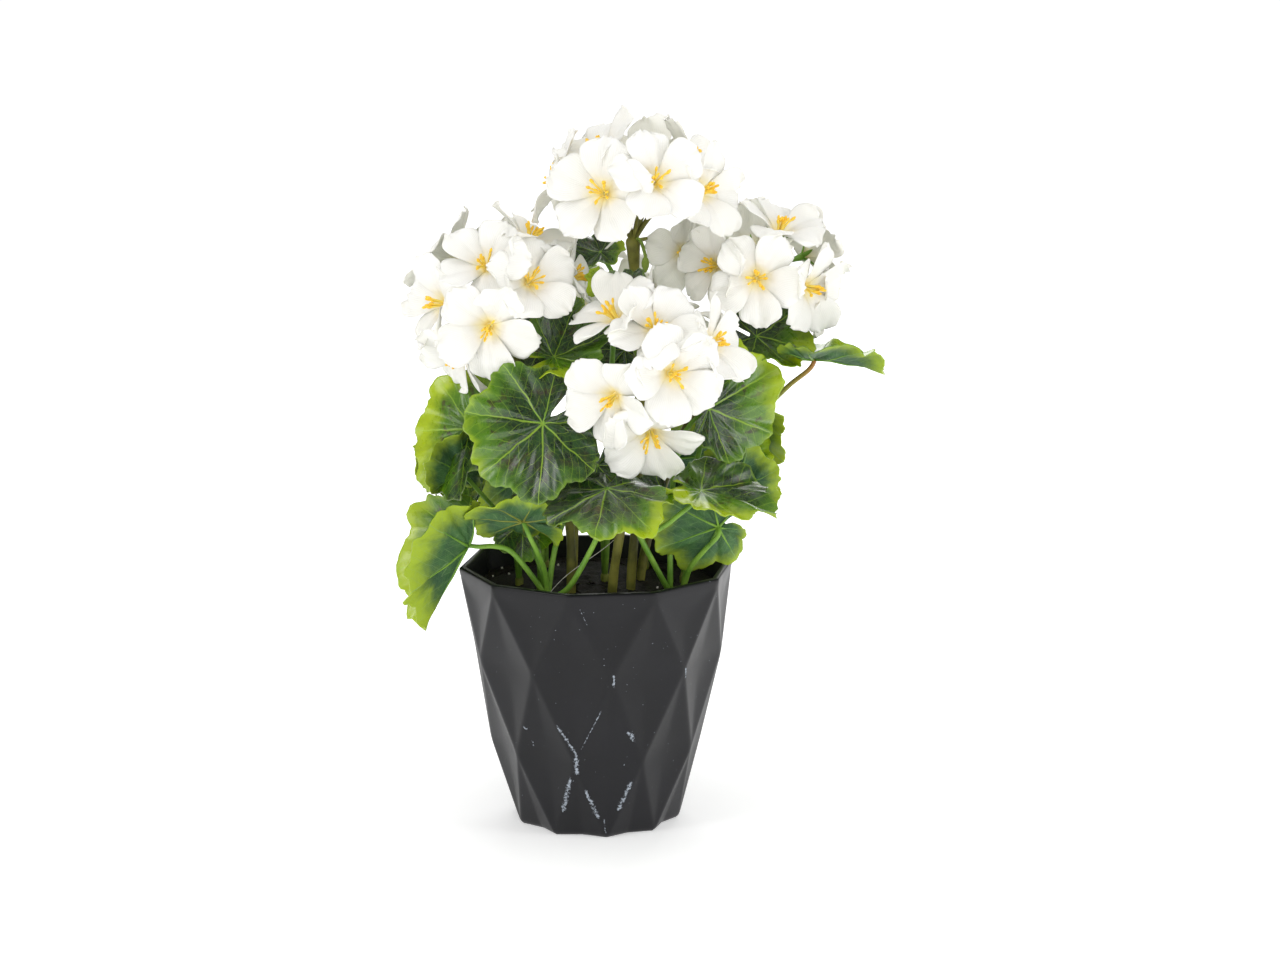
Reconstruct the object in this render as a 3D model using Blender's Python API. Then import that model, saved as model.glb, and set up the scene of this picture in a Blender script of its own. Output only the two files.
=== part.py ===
# Potted geranium: five heads of white silk blooms over lobed leaves, in a faceted black pot.
# The tables are in millimetres and degrees, and the meshes in metres. +Z is up, the pot's underside is
# centred on the origin, and -Y is the front. An azimuth is 0 at the front and grows towards +X.
from collections import namedtuple
from math import cos, floor, hypot, pi, radians, sin, sqrt, tan

import bmesh
import bpy
from mathutils import Matrix, Vector

MM = 0.001
GAP = 0.3

# Pot: rings of ten corners, from the rim down, and the wall inside them
SIDES = 10
RIM_PHASE = -10.7
STEP = 360 / SIDES
POT_HEIGHT = 128.0
RIM_RADIUS = 67.5
RIM_CHAMFER = 0.8
LIP_DEPTH = 3.4
UPPER_RING = (86.0, 62.5)
LOWER_RING = (41.0, 53.0)
FOOT_RADIUS = 41.5
FOOT_FOLD_RADIUS = 37.0
SCOOP_DEPTH = 1.3
DIAMOND_DEPTH = 2.5
FLOOR_THICKNESS = 5.0
POT_CREASE_ANGLE = 12.0
CAVITY = ((POT_HEIGHT, 64.0), (86.0, 54.0), (41.0, 45.0), (FLOOR_THICKNESS, 33.0))

# Soil: fills the pot to a little below the rim
SOIL_TOP = 118.0
SOIL_LUMP = 0.9
SOIL_RINGS = (0.68, 0.36)
FLOWER_HOLE_DEPTH = 26.0
LEAF_HOLE_DEPTH = 20.0

# Flower stems
STEM_RADIUS = 2.3
STEM_SIDES = 6
NODE_RADIUS = 3.6
PEDICEL_RADIUS = 0.95
PEDICEL_SIDES = 3
CALYX_RADIUS = 2.2
CALYX_LENGTH = 4.0
NODE_LENGTH = 2.5
STEM_RISE = (3.0, 10.0)
BUD_ARCH = 7.0
BUD_DROPS = (4.0, 7.0)

# Blooms: five petals that rise from the throat and roll outwards
PETALS = 5
PETAL_LENGTH = 27.5
PETAL_ROOT = 1.5
PETAL_HALF_WIDTH = 11.0
PETAL_THICKNESS = 0.7
THROAT_ANGLE = 55.0
TIP_ANGLE = -15.0
TIP_SPREAD = 14.0
PETAL_CUP = 1.1
PETAL_TWIST = 0.8
NECK_WIDTH = 0.14
PETAL_END = 1.04
SLOT_AT = 0.25
WIDEST_AT = 0.62
BLUNT_AT = 0.97

# Stamens: a small cone with one filament from each of its faces
FILAMENTS = 5
STAMEN_REACH = 12.0
STAMEN_SPREAD = 34.0
STAMEN_CONE_RADIUS = 1.35
STAMEN_CONE_HEIGHT = 3.2
STAMEN_CONE_SLOPE = 38.0
STAMEN_CLEARANCE = 0.4
FILAMENT_TAPER = 0.62

# Leaves: seven shallow lobes about the petiole, with a notch behind it
LEAF_THICKNESS = 0.8
LOBES = 7
LOBE_ANGLE = 48.0
NOTCH_DEPTH = 0.15
LOBE_SPREAD = 0.04
LEAF_DISH = 0.07
LEAF_PLEAT = 1.3
FINE_CORNER = 0.42
SINUS_REACH = 0.12
RING_AT = 0.55
PETIOLE_RADIUS = 1.3
PETIOLE_SIDES = 3
STUB_RADIUS = 2.1
STUB_SIDES = 6
STUB_HEIGHT = 4.0
PETIOLE_ARRIVAL = 6.0

Bloom = namedtuple("Bloom", "azimuth elevation spin reach face scale tip")
Head = namedtuple("Head", "centre hub root bend blooms buds")
Leaf = namedtuple("Leaf", "place radius normal tip fold arch wave via base fine")


def bloom(azimuth, elevation, spin=0.0, reach=32.0, face=None, scale=1.0, tip=TIP_ANGLE):
    """A bloom of a head: where it stands about the head's centre, and which way it faces."""
    return Bloom(azimuth, elevation, spin, reach, face or (azimuth, elevation), scale, tip)


def leaf(place, radius, normal, tip, fold=0.0, arch=0.0, wave=1.5, via=(), base=0.72, fine=False):
    """A leaf: its petiole's joint, size, upper face, the way its tip points, and how it bends."""
    return Leaf(place, radius, normal, tip, fold, arch, wave, via, base, fine)


HEADS = {
    "top": Head((19, -5, 303), (18, -1, 287), (17, -10), (3, 2), [
        bloom(-25, 18, 3, reach=34, face=(-18, 14), scale=1.04),
        bloom(14, 24, -10, reach=39, face=(16, 28), scale=0.96),
        bloom(61, 17, 24, reach=35, face=(52, 14), scale=0.94),
        bloom(-92, 22, 10, reach=33),
        bloom(-62, 55, 38, reach=30, scale=0.95),
        bloom(90, 45, 40, reach=31, scale=0.95),
        bloom(92, 6, -36, reach=28, scale=0.7, face=(78, -28)),
        bloom(126, -38, 0, reach=36, scale=0.8, face=(12, -8)),
        bloom(164, 26, 6),
        bloom(-148, 18, 0, reach=31),
    ], [((24, -7, 281), 1.6)]),
    "left": Head((-45, -15, 258), (-44, -12, 243), (-12, -18), (7, 3), [
        bloom(-7, -8, -42),
        bloom(28, 26, 0, scale=0.92),
        bloom(-12, 40, 20, scale=0.92),
        bloom(-62, 6, -14, reach=28, scale=0.95),
        bloom(88, 22, 30, scale=0.92),
        bloom(80, 66, 0, reach=31, scale=0.92),
        bloom(-52, -40, 0, reach=29, scale=0.9),
        bloom(-114, 40, 12, reach=29),
        bloom(176, 22, 0, reach=29),
    ], []),
    "front": Head((25, -42, 233), (25, -38, 218), (8, -30), (-1, -4), [
        bloom(-28, -15, -34, scale=0.95),
        bloom(18, 4, -20, scale=0.97),
        bloom(3, -56, 16, face=(4, -36), scale=0.98),
        bloom(7, 38, -35, scale=0.9),
        bloom(-47, 51, -30, reach=30, scale=0.92),
        bloom(64, 22, 10, scale=0.92),
        bloom(105, 60, 0, reach=25, scale=0.86, face=(105, 66)),
    ], []),
    "right": Head((75, 10, 270), (73, 18, 256), (22, 10), (-4, 7), [
        bloom(3, 4, -40, scale=0.92),
        bloom(50, -6, 10, scale=0.92),
        bloom(-34, 14, 0, reach=30, scale=0.78, face=(-36, 6)),
        bloom(40, 46, 32, reach=28, scale=0.9, face=(48, 68)),
        bloom(84, -18, 24, reach=30, scale=0.82),
        bloom(112, 14, 12, reach=29, scale=0.92),
        bloom(178, 16, 0, reach=29, scale=0.95),
    ], []),
    "back": Head((-8, 58, 236), (-8, 56, 221), (-12, 20), (0, 6), [
        bloom(180, 6, 0),
        bloom(128, 16, 20, scale=0.95),
        bloom(-128, 16, 10, scale=0.95),
        bloom(176, 60, 30, scale=0.92),
        bloom(78, 24, 0, scale=0.9),
        bloom(-76, 24, -6, reach=30, scale=0.86),
    ], []),
}

SPRAYS = {
    "front_left": ((-23, -36), [
        leaf((-61, -45, 147), 43, (-78, 30), (-0.52, -0.1, -0.85), fold=50, arch=12, via=[(-40, -44, 144)],
             base=0.42, fine=True),
        leaf((-34, -50, 160), 28, (170, 55), (-1, 0.1, 0.35), arch=25),
        leaf((6, -66, 179), 37, (0, 72), (-0.15, -1, -0.3), fold=-14, arch=28, wave=3.0, base=0.6,
             via=[(-12, -48, 128), (3, -56, 158)], fine=True),
        leaf((-35, -31, 155.5), 19.5, (20, 5), (0.7, 0, -0.7), fold=10, arch=15),
        leaf((1, -29.5, 183), 17, (7, 5), (-0.15, 0, -1), fold=9),
    ]),
    "left": ((-27, -18), [
        leaf((-24, -61, 209.5), 39, (4, 18), (-0.75, -0.2, -0.6), fold=4, arch=18, base=0.52, fine=True),
        leaf((-19, -44, 238), 27, (5, 40), (0.8, -0.1, 0.55), fold=30, arch=-8, wave=2.0, base=0.45),
    ]),
    "left_back": ((-38, 0), [
        leaf((-60, -24, 200), 37, (-45, 28), (-0.8, -0.3, -0.25), fold=10, arch=25, fine=True),
        leaf((-64, -23, 178), 26, (-140, 15), (-0.3, 0, 1), arch=12, base=0.3),
    ]),
    "right": ((36, -26), [
        leaf((50, -60, 177), 36, (15, 76), (1, -0.2, -0.15), fold=6, arch=26, wave=2.6, base=0.3,
             via=[(23, -44, 148), (15, -50, 168), (26, -58, 157), (40, -61, 166)], fine=True),
        leaf((54, -42, 213), 40, (22, 12), (0.83, -0.1, 0.42), fold=-8, arch=14, wave=1.6, base=0.2,
             fine=True),
        leaf((33.5, -17.5, 164), 20, (-10, 20), (-0.2, 0, -1), fold=10),
    ]),
    "right_low": ((42, -24), [
        leaf((59, -35, 154), 33, (185, 20), (-0.9, 0, -0.3), fold=8, arch=10, base=0.2, fine=True),
        leaf((68, -12, 168), 26, (168, 5), (0.3, 0, 1), arch=15, base=0.4),
    ]),
    "right_back": ((43, 6), [
        leaf((78, 1, 240.5), 29, (10, 50), (0.97, -0.1, -0.05), fold=14, arch=14, wave=1.6, base=0.36),
        leaf((105, -8, 231), 36, (178, 80), (0.97, -0.1, -0.22), fold=10, arch=22, wave=2.6, base=0.4,
             via=[(76, 0, 196)], fine=True),
        leaf((72, 13, 178), 27, (60, 35), (1, 0.2, -0.1), fold=12, arch=20, base=0.4),
    ]),
    "middle": ((4, 8), [
        leaf((10, -25, 269), 17, (-10, 62), (-0.2, -1, 0.1), fold=18, wave=2.0, via=[(8, -12, 230)]),
        leaf((2, 22, 279), 16, (-25, 55), (-0.8, -0.4, 0.1), fold=12, wave=2.0),
        leaf((-22, 0, 246), 25, (-15, 35), (-0.4, -0.8, -0.3), fold=15),
        leaf((14, 14, 232), 19, (5, 8), (0.1, 0, -1), fold=8),
    ]),
    "back_right": ((24, 34), [
        leaf((66, 44, 196), 38, (120, 35), (0.6, 0.6, -0.4), fold=12, arch=30),
        leaf((36, 74, 166), 37, (155, 30), (0.3, 0.8, -0.5), fold=10, arch=30),
    ]),
    "back_left": ((-26, 34), [
        leaf((-62, 40, 186), 38, (-120, 32), (-0.6, 0.5, -0.4), fold=12, arch=30),
        leaf((-32, 76, 160), 37, (-160, 30), (-0.3, 0.8, -0.5), fold=10, arch=30),
        leaf((-64, 16, 148), 32, (-95, 25), (-0.8, 0.2, -0.5), fold=15, arch=25),
    ]),
}


def wobble(*keys):
    """A repeatable value from -1 to 1 that looks random and depends only on the keys."""
    total = sum(sin((i + 1) * 12.9898 + key * (78.233 + 3.17 * i)) for i, key in enumerate(keys)) * 43758.5453
    return 2 * (total - floor(total)) - 1


def direction(azimuth, elevation):
    """Unit vector from an azimuth and an elevation in degrees."""
    a, e = radians(azimuth), radians(elevation)
    return Vector((sin(a) * cos(e), -cos(a) * cos(e), sin(e)))


def frame_of(place, normal, along):
    """Matrix whose Z is the normal and whose X is the part of along that lies across it."""
    z = normal.normalized()
    x = (along - z * along.dot(z)).normalized()
    y = z.cross(x)
    matrix = Matrix((x, y, z)).transposed().to_4x4()
    matrix.translation = place
    return matrix


def material(name, colour, roughness, metallic=0.0):
    made = bpy.data.materials.new(name)
    made.use_nodes = True
    shader = made.node_tree.nodes["Principled BSDF"]
    shader.inputs["Base Color"].default_value = (*colour, 1.0)
    shader.inputs["Roughness"].default_value = roughness
    shader.inputs["Metallic"].default_value = metallic
    made.diffuse_color = (*colour, 1.0)
    return made


def make_object(name, shell, finish, smooth_angle=40.0):
    """Turn one shell, its points in millimetres, into an object."""
    points, faces = shell
    mesh = bpy.data.meshes.new(name)
    mesh.from_pydata([tuple(Vector(p) * MM) for p in points], [], [tuple(f) for f in faces])
    mesh.materials.append(finish)
    mesh.shade_smooth()
    mesh.set_sharp_from_angle(angle=radians(smooth_angle))
    made = bpy.data.objects.new(name, mesh)
    bpy.context.scene.collection.objects.link(made)
    return made


def keep_largest_body(mesh):
    """Drop the loose scraps and sealed pockets that a union leaves, all but the largest body."""
    work = bmesh.new()
    work.from_mesh(mesh)
    bmesh.ops.triangulate(work, faces=work.faces)
    left = set(work.faces)
    bodies = []
    while left:
        stack = [left.pop()]
        body = list(stack)
        while stack:
            for edge in stack.pop().edges:
                for near in edge.link_faces:
                    if near in left:
                        left.remove(near)
                        stack.append(near)
                        body.append(near)
        bodies.append(body)
    bodies.sort(key=len)
    for body in bodies[:-1]:
        bmesh.ops.delete(work, geom=body, context="FACES")
    loose = [v for v in work.verts if not v.link_faces]
    bmesh.ops.delete(work, geom=loose, context="VERTS")
    work.to_mesh(mesh)
    work.free()


def fuse(name, shells, finish, smooth_angle=40.0):
    """Join closed shells into one body with a single union on a collection."""
    base = make_object(name, shells[0], finish, smooth_angle)
    others = bpy.data.collections.new(name + "_parts")
    bpy.context.scene.collection.children.link(others)
    for index, shell in enumerate(shells[1:]):
        piece = make_object(f"{name}_{index}", shell, finish)
        bpy.context.scene.collection.objects.unlink(piece)
        others.objects.link(piece)
    union = base.modifiers.new("union", "BOOLEAN")
    union.operation = "UNION"
    union.solver = "MANIFOLD"
    union.operand_type = "COLLECTION"
    union.collection = others
    evaluated = base.evaluated_get(bpy.context.evaluated_depsgraph_get())
    joined = bpy.data.meshes.new_from_object(evaluated)
    base.modifiers.clear()
    base.data = joined
    keep_largest_body(joined)
    joined.shade_smooth()
    joined.set_sharp_from_angle(angle=radians(smooth_angle))
    for piece in list(others.objects):
        bpy.data.objects.remove(piece)
    bpy.data.collections.remove(others)
    return base


def bezier(a, b, c, d, steps):
    """Points along a cubic curve, both ends included."""
    points = []
    for i in range(steps + 1):
        t = i / steps
        s = 1 - t
        points.append(a * s ** 3 + b * 3 * s * s * t + c * 3 * s * t * t + d * t ** 3)
    return points


def smooth_path(points, steps):
    """Points along a smooth curve through the given ones."""
    path = [points[0]]
    for i in range(len(points) - 1):
        before = points[max(i - 1, 0)]
        after = points[min(i + 2, len(points) - 1)]
        a, d = points[i], points[i + 1]
        path += bezier(a, a + (d - before) / 6, d - (after - a) / 6, d, steps)[1:]
    return path


def tube(path, radii, sides):
    """Closed tube along a path, with a radius for each point."""
    count = len(path)
    tangents = [(path[min(i + 1, count - 1)] - path[max(i - 1, 0)]).normalized() for i in range(count)]
    side = tangents[0].orthogonal().normalized()
    points = []
    for place, tangent, radius in zip(path, tangents, radii):
        side = (side - tangent * side.dot(tangent)).normalized()
        other = tangent.cross(side)
        for j in range(sides):
            turn = 2 * pi * j / sides
            points.append(place + side * (radius * cos(turn)) + other * (radius * sin(turn)))
    faces = []
    for i in range(count - 1):
        for j in range(sides):
            k = (j + 1) % sides
            low, high = i * sides, (i + 1) * sides
            faces.append((low + j, low + k, high + k, high + j))
    faces.append(tuple(reversed(range(sides))))
    faces.append(tuple(range((count - 1) * sides, count * sides)))
    return points, faces


def thicken(points, triangles, thickness):
    """Closed blade about a sheet of triangles: the same split on both faces, and a wall round the edge."""
    normals = [Vector((0, 0, 0)) for _ in points]
    borders = set()
    for triangle in triangles:
        a, b, c = (points[i] for i in triangle)
        across = (b - a).cross(c - a)
        for i in triangle:
            normals[i] += across
        for i in range(3):
            borders.add((triangle[i], triangle[(i + 1) % 3]))
    half = thickness / 2
    upper = [p + n.normalized() * half for p, n in zip(points, normals)]
    lower = [p - n.normalized() * half for p, n in zip(points, normals)]
    shift = len(points)
    faces = list(triangles)
    faces += [(c + shift, b + shift, a + shift) for a, b, c in triangles]
    for a, b in sorted(borders):
        if (b, a) not in borders:
            faces.append((b, a, a + shift))
            faces.append((b, a + shift, b + shift))
    return upper + lower, faces


def ring(height, radius, phase):
    """Corners of a level ring, the first at the given azimuth."""
    return [direction(phase + STEP * k, 0) * radius + Vector((0, 0, height)) for k in range(SIDES)]


def middle(points, depth):
    """Middle of a facet, pushed in towards the pot's axis."""
    centre = sum(points, Vector((0, 0, 0))) / len(points)
    inward = Vector((centre.x, centre.y, 0)).normalized()
    return centre - inward * depth


def make_pot(finish):
    """Ten-sided pot whose wall is two rows of hollow diamonds between scooped triangles."""
    half = RIM_PHASE + STEP / 2
    points = []

    def add(corners):
        points.extend(corners)
        return [len(points) - len(corners) + i for i in range(len(corners))]

    rim = add(ring(POT_HEIGHT, RIM_RADIUS - RIM_CHAMFER, RIM_PHASE))
    edge = add(ring(POT_HEIGHT - RIM_CHAMFER, RIM_RADIUS, RIM_PHASE))
    lip = add(ring(POT_HEIGHT - LIP_DEPTH, RIM_RADIUS - 0.1, RIM_PHASE))
    upper = add(ring(*UPPER_RING, half))
    lower = add(ring(*LOWER_RING, RIM_PHASE))
    foot = add(ring(0, FOOT_RADIUS, half))
    folds = add(ring(0, FOOT_FOLD_RADIUS, RIM_PHASE))
    inner = [add(ring(z, r, RIM_PHASE)) for z, r in CAVITY]
    under = add([Vector((0, 0, 0))])[0]
    bottom = add([Vector((0, 0, FLOOR_THICKNESS))])[0]
    faces = []

    def facet(corners, depth):
        """Shallow pyramid on three or four corners, its point sunk into the wall."""
        point = add([middle([points[i] for i in corners], depth)])[0]
        for i, corner in enumerate(corners):
            faces.append((corner, corners[(i + 1) % len(corners)], point))

    for k in range(SIDES):
        n = (k + 1) % SIDES
        before = (k - 1) % SIDES
        faces.append((rim[k], edge[k], edge[n], rim[n]))
        faces.append((edge[k], lip[k], lip[n], edge[n]))
        facet((lip[k], upper[k], lip[n]), SCOOP_DEPTH)
        facet((lip[k], upper[before], lower[k], upper[k]), DIAMOND_DEPTH)
        facet((upper[k], lower[k], foot[k], lower[n]), DIAMOND_DEPTH)
        faces.append((lower[k], foot[before], folds[k]))
        faces.append((lower[k], folds[k], foot[k]))
        faces.append((under, folds[k], foot[before]))
        faces.append((under, foot[k], folds[k]))
        faces.append((inner[0][k], rim[k], rim[n], inner[0][n]))
        for high, low in zip(inner, inner[1:]):
            faces.append((low[k], high[k], high[n], low[n]))
        faces.append((bottom, inner[-1][k], inner[-1][n]))
    return make_object("pot", (points, faces), finish, POT_CREASE_ANGLE)


def cavity_radius(height):
    """Corner radius of the pot's inside at a height."""
    for (z1, r1), (z0, r0) in zip(CAVITY, CAVITY[1:]):
        if height >= z0:
            return r0 + (r1 - r0) * (height - z0) / (z1 - z0)
    return CAVITY[-1][1]


def make_soil(finish, holes):
    """Filling with a lumpy top and a plain hole for each stem, from the places, radii and depths given."""
    clear = GAP / cos(radians(STEP / 2))
    levels = [FLOOR_THICKNESS + GAP, LOWER_RING[0], UPPER_RING[0], SOIL_TOP]
    points = []
    faces = []
    for z in levels:
        points += ring(z, cavity_radius(z) - clear, RIM_PHASE)
    for i in range(len(levels) - 1):
        for k in range(SIDES):
            n = (k + 1) % SIDES
            low, high = i * SIDES, (i + 1) * SIDES
            faces.append((low + k, low + n, high + n, high + k))
    faces.append(tuple(reversed(range(SIDES))))
    edge = (len(levels) - 1) * SIDES
    for index, share in enumerate(SOIL_RINGS):
        start = len(points)
        for k, corner in enumerate(ring(SOIL_TOP, cavity_radius(SOIL_TOP) * share, RIM_PHASE)):
            points.append(corner + Vector((0, 0, SOIL_LUMP * wobble(index + 1, k + 1))))
        for k in range(SIDES):
            n = (k + 1) % SIDES
            faces.append((edge + k, edge + n, start + n))
            faces.append((edge + k, start + n, start + k))
        edge = start
    points.append(Vector((0, 0, SOIL_TOP)))
    for k in range(SIDES):
        faces.append((edge + k, edge + (k + 1) % SIDES, len(points) - 1))
    soil = make_object("soil", (points, faces), finish)
    drills = bpy.data.collections.new("drills")
    bpy.context.scene.collection.children.link(drills)
    for index, (place, radius, depth, sides) in enumerate(holes):
        low = Vector((*place, SOIL_TOP - depth - GAP))
        high = Vector((*place, SOIL_TOP + 5))
        wide = radius + GAP / cos(pi / sides)
        drill = make_object(f"drill_{index}", tube([low, high], [wide, wide], sides), finish)
        bpy.context.scene.collection.objects.unlink(drill)
        drills.objects.link(drill)
    cut = soil.modifiers.new("holes", "BOOLEAN")
    cut.operation = "DIFFERENCE"
    cut.operand_type = "COLLECTION"
    cut.collection = drills
    evaluated = soil.evaluated_get(bpy.context.evaluated_depsgraph_get())
    mesh = bpy.data.meshes.new_from_object(evaluated)
    soil.modifiers.clear()
    soil.data = mesh
    for drill in list(drills.objects):
        bpy.data.objects.remove(drill)
    bpy.data.collections.remove(drills)
    return soil


def bloom_frame(head, item):
    """Frame of a bloom: Z is the way it faces, X its first petal, and its place the throat."""
    place = Vector(head.centre) + direction(item.azimuth, item.elevation) * item.reach
    normal = direction(*item.face)
    level = Vector((0, 0, 1)) if abs(normal.z) < 0.95 else Vector((0, 1, 0))
    upright = frame_of(place, normal, level)
    return upright @ Matrix.Rotation(radians(-item.spin), 4, "Z")


def petal_point(k, s, v, item, seed):
    """Point on petal k of a bloom: s runs across it from -1 to 1, and v from the throat to the tip."""
    start = radians(THROAT_ANGLE)
    turn = radians(item.tip + TIP_SPREAD * wobble(seed, k + 1)) - start
    now = start + turn * v
    out = PETAL_ROOT + PETAL_LENGTH * (sin(now) - sin(start)) / turn
    rise = PETAL_LENGTH * (cos(start) - cos(now)) / turn
    if v < WIDEST_AT:
        width = NECK_WIDTH + (1 - NECK_WIDTH) * sin(pi / 2 * v / WIDEST_AT)
    else:
        width = sqrt(max(1 - ((v - WIDEST_AT) / (PETAL_END - WIDEST_AT)) ** 2, 0))
    across = PETAL_HALF_WIDTH * width * s
    rise += v * (PETAL_CUP * s * s + PETAL_TWIST * s * wobble(seed, k + 7))
    angle = 2 * pi * k / PETALS
    x = out * cos(angle) - across * sin(angle)
    y = out * sin(angle) + across * cos(angle)
    return Vector((x, y, rise)) * item.scale


def corolla(head, item, seed):
    """Closed shell of one bloom's five petals."""
    local = [Vector((0, 0, 0))]
    for k in range(PETALS):
        right = petal_point(k, 1, SLOT_AT, item, seed)
        left = petal_point((k + 1) % PETALS, -1, SLOT_AT, item, seed)
        slot = (right + left) / 2
        local.append(slot)
        for s in (-1, 0, 1):
            local.append(petal_point(k, s, WIDEST_AT, item, seed))
        for s in (-1, 1):
            local.append(petal_point(k, s, BLUNT_AT, item, seed))
    triangles = []
    row = 6
    for k in range(PETALS):
        after = 1 + k * row
        before = 1 + ((k - 1) % PETALS) * row
        wide_l, wide_m, wide_r, tip_l, tip_r = range(after + 1, after + row)
        triangles += [(0, before, after), (before, wide_l, wide_m), (before, wide_m, after)]
        triangles += [(after, wide_m, wide_r), (wide_l, tip_l, wide_m)]
        triangles += [(tip_l, tip_r, wide_m), (wide_m, tip_r, wide_r)]
    frame = bloom_frame(head, item)
    points, faces = thicken(local, triangles, PETAL_THICKNESS)
    return [frame @ p for p in points], faces


def stamens(head, item, seed):
    """Closed shell of one bloom's filaments on their cone, standing just clear of the throat."""
    low = PETAL_THICKNESS / 2 + STAMEN_CLEARANCE
    points = [Vector((0, 0, low))]
    for j in range(FILAMENTS):
        turn = 2 * pi * j / FILAMENTS
        rise = low + STAMEN_CONE_RADIUS * tan(radians(STAMEN_CONE_SLOPE))
        points.append(Vector((STAMEN_CONE_RADIUS * cos(turn), STAMEN_CONE_RADIUS * sin(turn), rise)))
    points.append(Vector((0, 0, low + STAMEN_CONE_HEIGHT)))
    top = len(points) - 1
    faces = []
    for j in range(FILAMENTS):
        a, b = 1 + j, 1 + (j + 1) % FILAMENTS
        faces.append((0, b, a))
        root = [points[a], points[b], points[top]]
        centre = sum(root, Vector((0, 0, 0))) / 3
        turn = 2 * pi * (j + 0.5) / FILAMENTS + 0.3 * wobble(seed, j + 20)
        spread = radians(STAMEN_SPREAD * (1 + 0.3 * wobble(seed, j + 30)))
        length = STAMEN_REACH * (0.85 + 0.15 * wobble(seed, j + 40))
        end = Vector((sin(spread) * cos(turn), sin(spread) * sin(turn), cos(spread))) * length
        first = len(points)
        for corner in root:
            points.append(end + centre * 0.3 + (corner - centre) * FILAMENT_TAPER)
        for (p, q), (r, t) in zip(((a, b), (b, top), (top, a)), ((0, 1), (1, 2), (2, 0))):
            faces.append((p, q, first + t, first + r))
        faces.append((first, first + 1, first + 2))
    frame = bloom_frame(head, item)
    return [frame @ p for p in points], faces


def pedicel_path(head, item):
    """Path of a bloom's own stalk, from the top of the stem to just under the throat."""
    frame = bloom_frame(head, item)
    normal = frame.to_3x3() @ Vector((0, 0, 1))
    hub = Vector(head.hub)
    top = frame.translation - normal * (PETAL_THICKNESS / 2 + GAP)
    base = top - normal * CALYX_LENGTH
    reach = (base - hub).length
    rise = (Vector((0, 0, 0.5)) + (base - hub).normalized()).normalized()
    return bezier(hub, hub + rise * reach * 0.4, base - normal * reach * 0.4, base, 3) + [top]


def stem_path(head):
    """Path of a flower stem, from its hole in the soil to the node that carries the blooms."""
    root = Vector((*head.root, SOIL_TOP))
    hub = Vector(head.hub)
    bend = Vector((*head.bend, 0))
    foot = root - Vector((0, 0, FLOWER_HOLE_DEPTH))
    low, high = STEM_RISE
    return [foot, root + Vector((0, 0, low))] + bezier(
        root + Vector((0, 0, high)), root.lerp(hub, 0.35) + bend * 2, root.lerp(hub, 0.7) + bend, hub, 5)[1:]


def make_flower_stem(name, head, finish):
    path = stem_path(head)
    radii = [STEM_RADIUS] * (len(path) - 1) + [NODE_RADIUS]
    path.append(path[-1] + (path[-1] - path[-2]).normalized() * NODE_LENGTH)
    radii.append(NODE_RADIUS * 0.7)
    shells = [tube(path, radii, STEM_SIDES)]
    for item in head.blooms:
        line = pedicel_path(head, item)
        thin = [PEDICEL_RADIUS] * (len(line) - 2)
        shells.append(tube(line, thin + [PEDICEL_RADIUS * 1.2, CALYX_RADIUS], PEDICEL_SIDES))
    for place, radius in head.buds:
        hub, end = Vector(head.hub), Vector(place)
        arch = hub.lerp(end, 0.6) + Vector((0, 0, BUD_ARCH))
        line = bezier(hub, hub.lerp(arch, 0.7), arch, end, 4)
        line += [end - Vector((0, 0, drop)) for drop in BUD_DROPS]
        shells.append(tube(line, [PEDICEL_RADIUS] * 4 + [radius, radius * 1.2, 0.5], PEDICEL_SIDES))
    return fuse(name, shells, finish)


def leaf_frame(item):
    return frame_of(Vector(item.place), direction(*item.normal), Vector(item.tip))


def leaf_point(item, angle, share, seed):
    """Point on a leaf: its angle in degrees from the tip, and its share of the way to the edge."""
    lobe = (angle + LOBE_ANGLE / 2) % LOBE_ANGLE / LOBE_ANGLE * 2 - 1
    size = 1 - (1 - item.base) * (abs(angle) / 180) ** 1.6
    size += LOBE_SPREAD * wobble(seed, floor((angle + LOBE_ANGLE / 2) / LOBE_ANGLE) + 9)
    edge = item.radius * size * (1 - NOTCH_DEPTH * abs(lobe) ** 2.5)
    if abs(angle) >= 180:
        edge = item.radius * SINUS_REACH
    turn = radians(angle)
    p = edge * share * cos(turn)
    q = edge * share * sin(turn)
    height = LEAF_DISH * item.radius * share ** 2
    height -= LEAF_PLEAT * cos(2 * pi * angle / LOBE_ANGLE) * share
    height += item.wave * sin(radians(angle * 3.5) + 3 * wobble(seed, 5)) * share ** 3
    fold = radians(item.fold)
    height += (hypot(q, 3) - 3) * sin(fold)
    q *= cos(fold)
    if item.arch:
        bend = radians(item.arch) / item.radius
        p, height = (sin(bend * p) * (1 / bend + height)), height * cos(bend * p) - (1 - cos(bend * p)) / bend
    return Vector((p, q, height))


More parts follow.
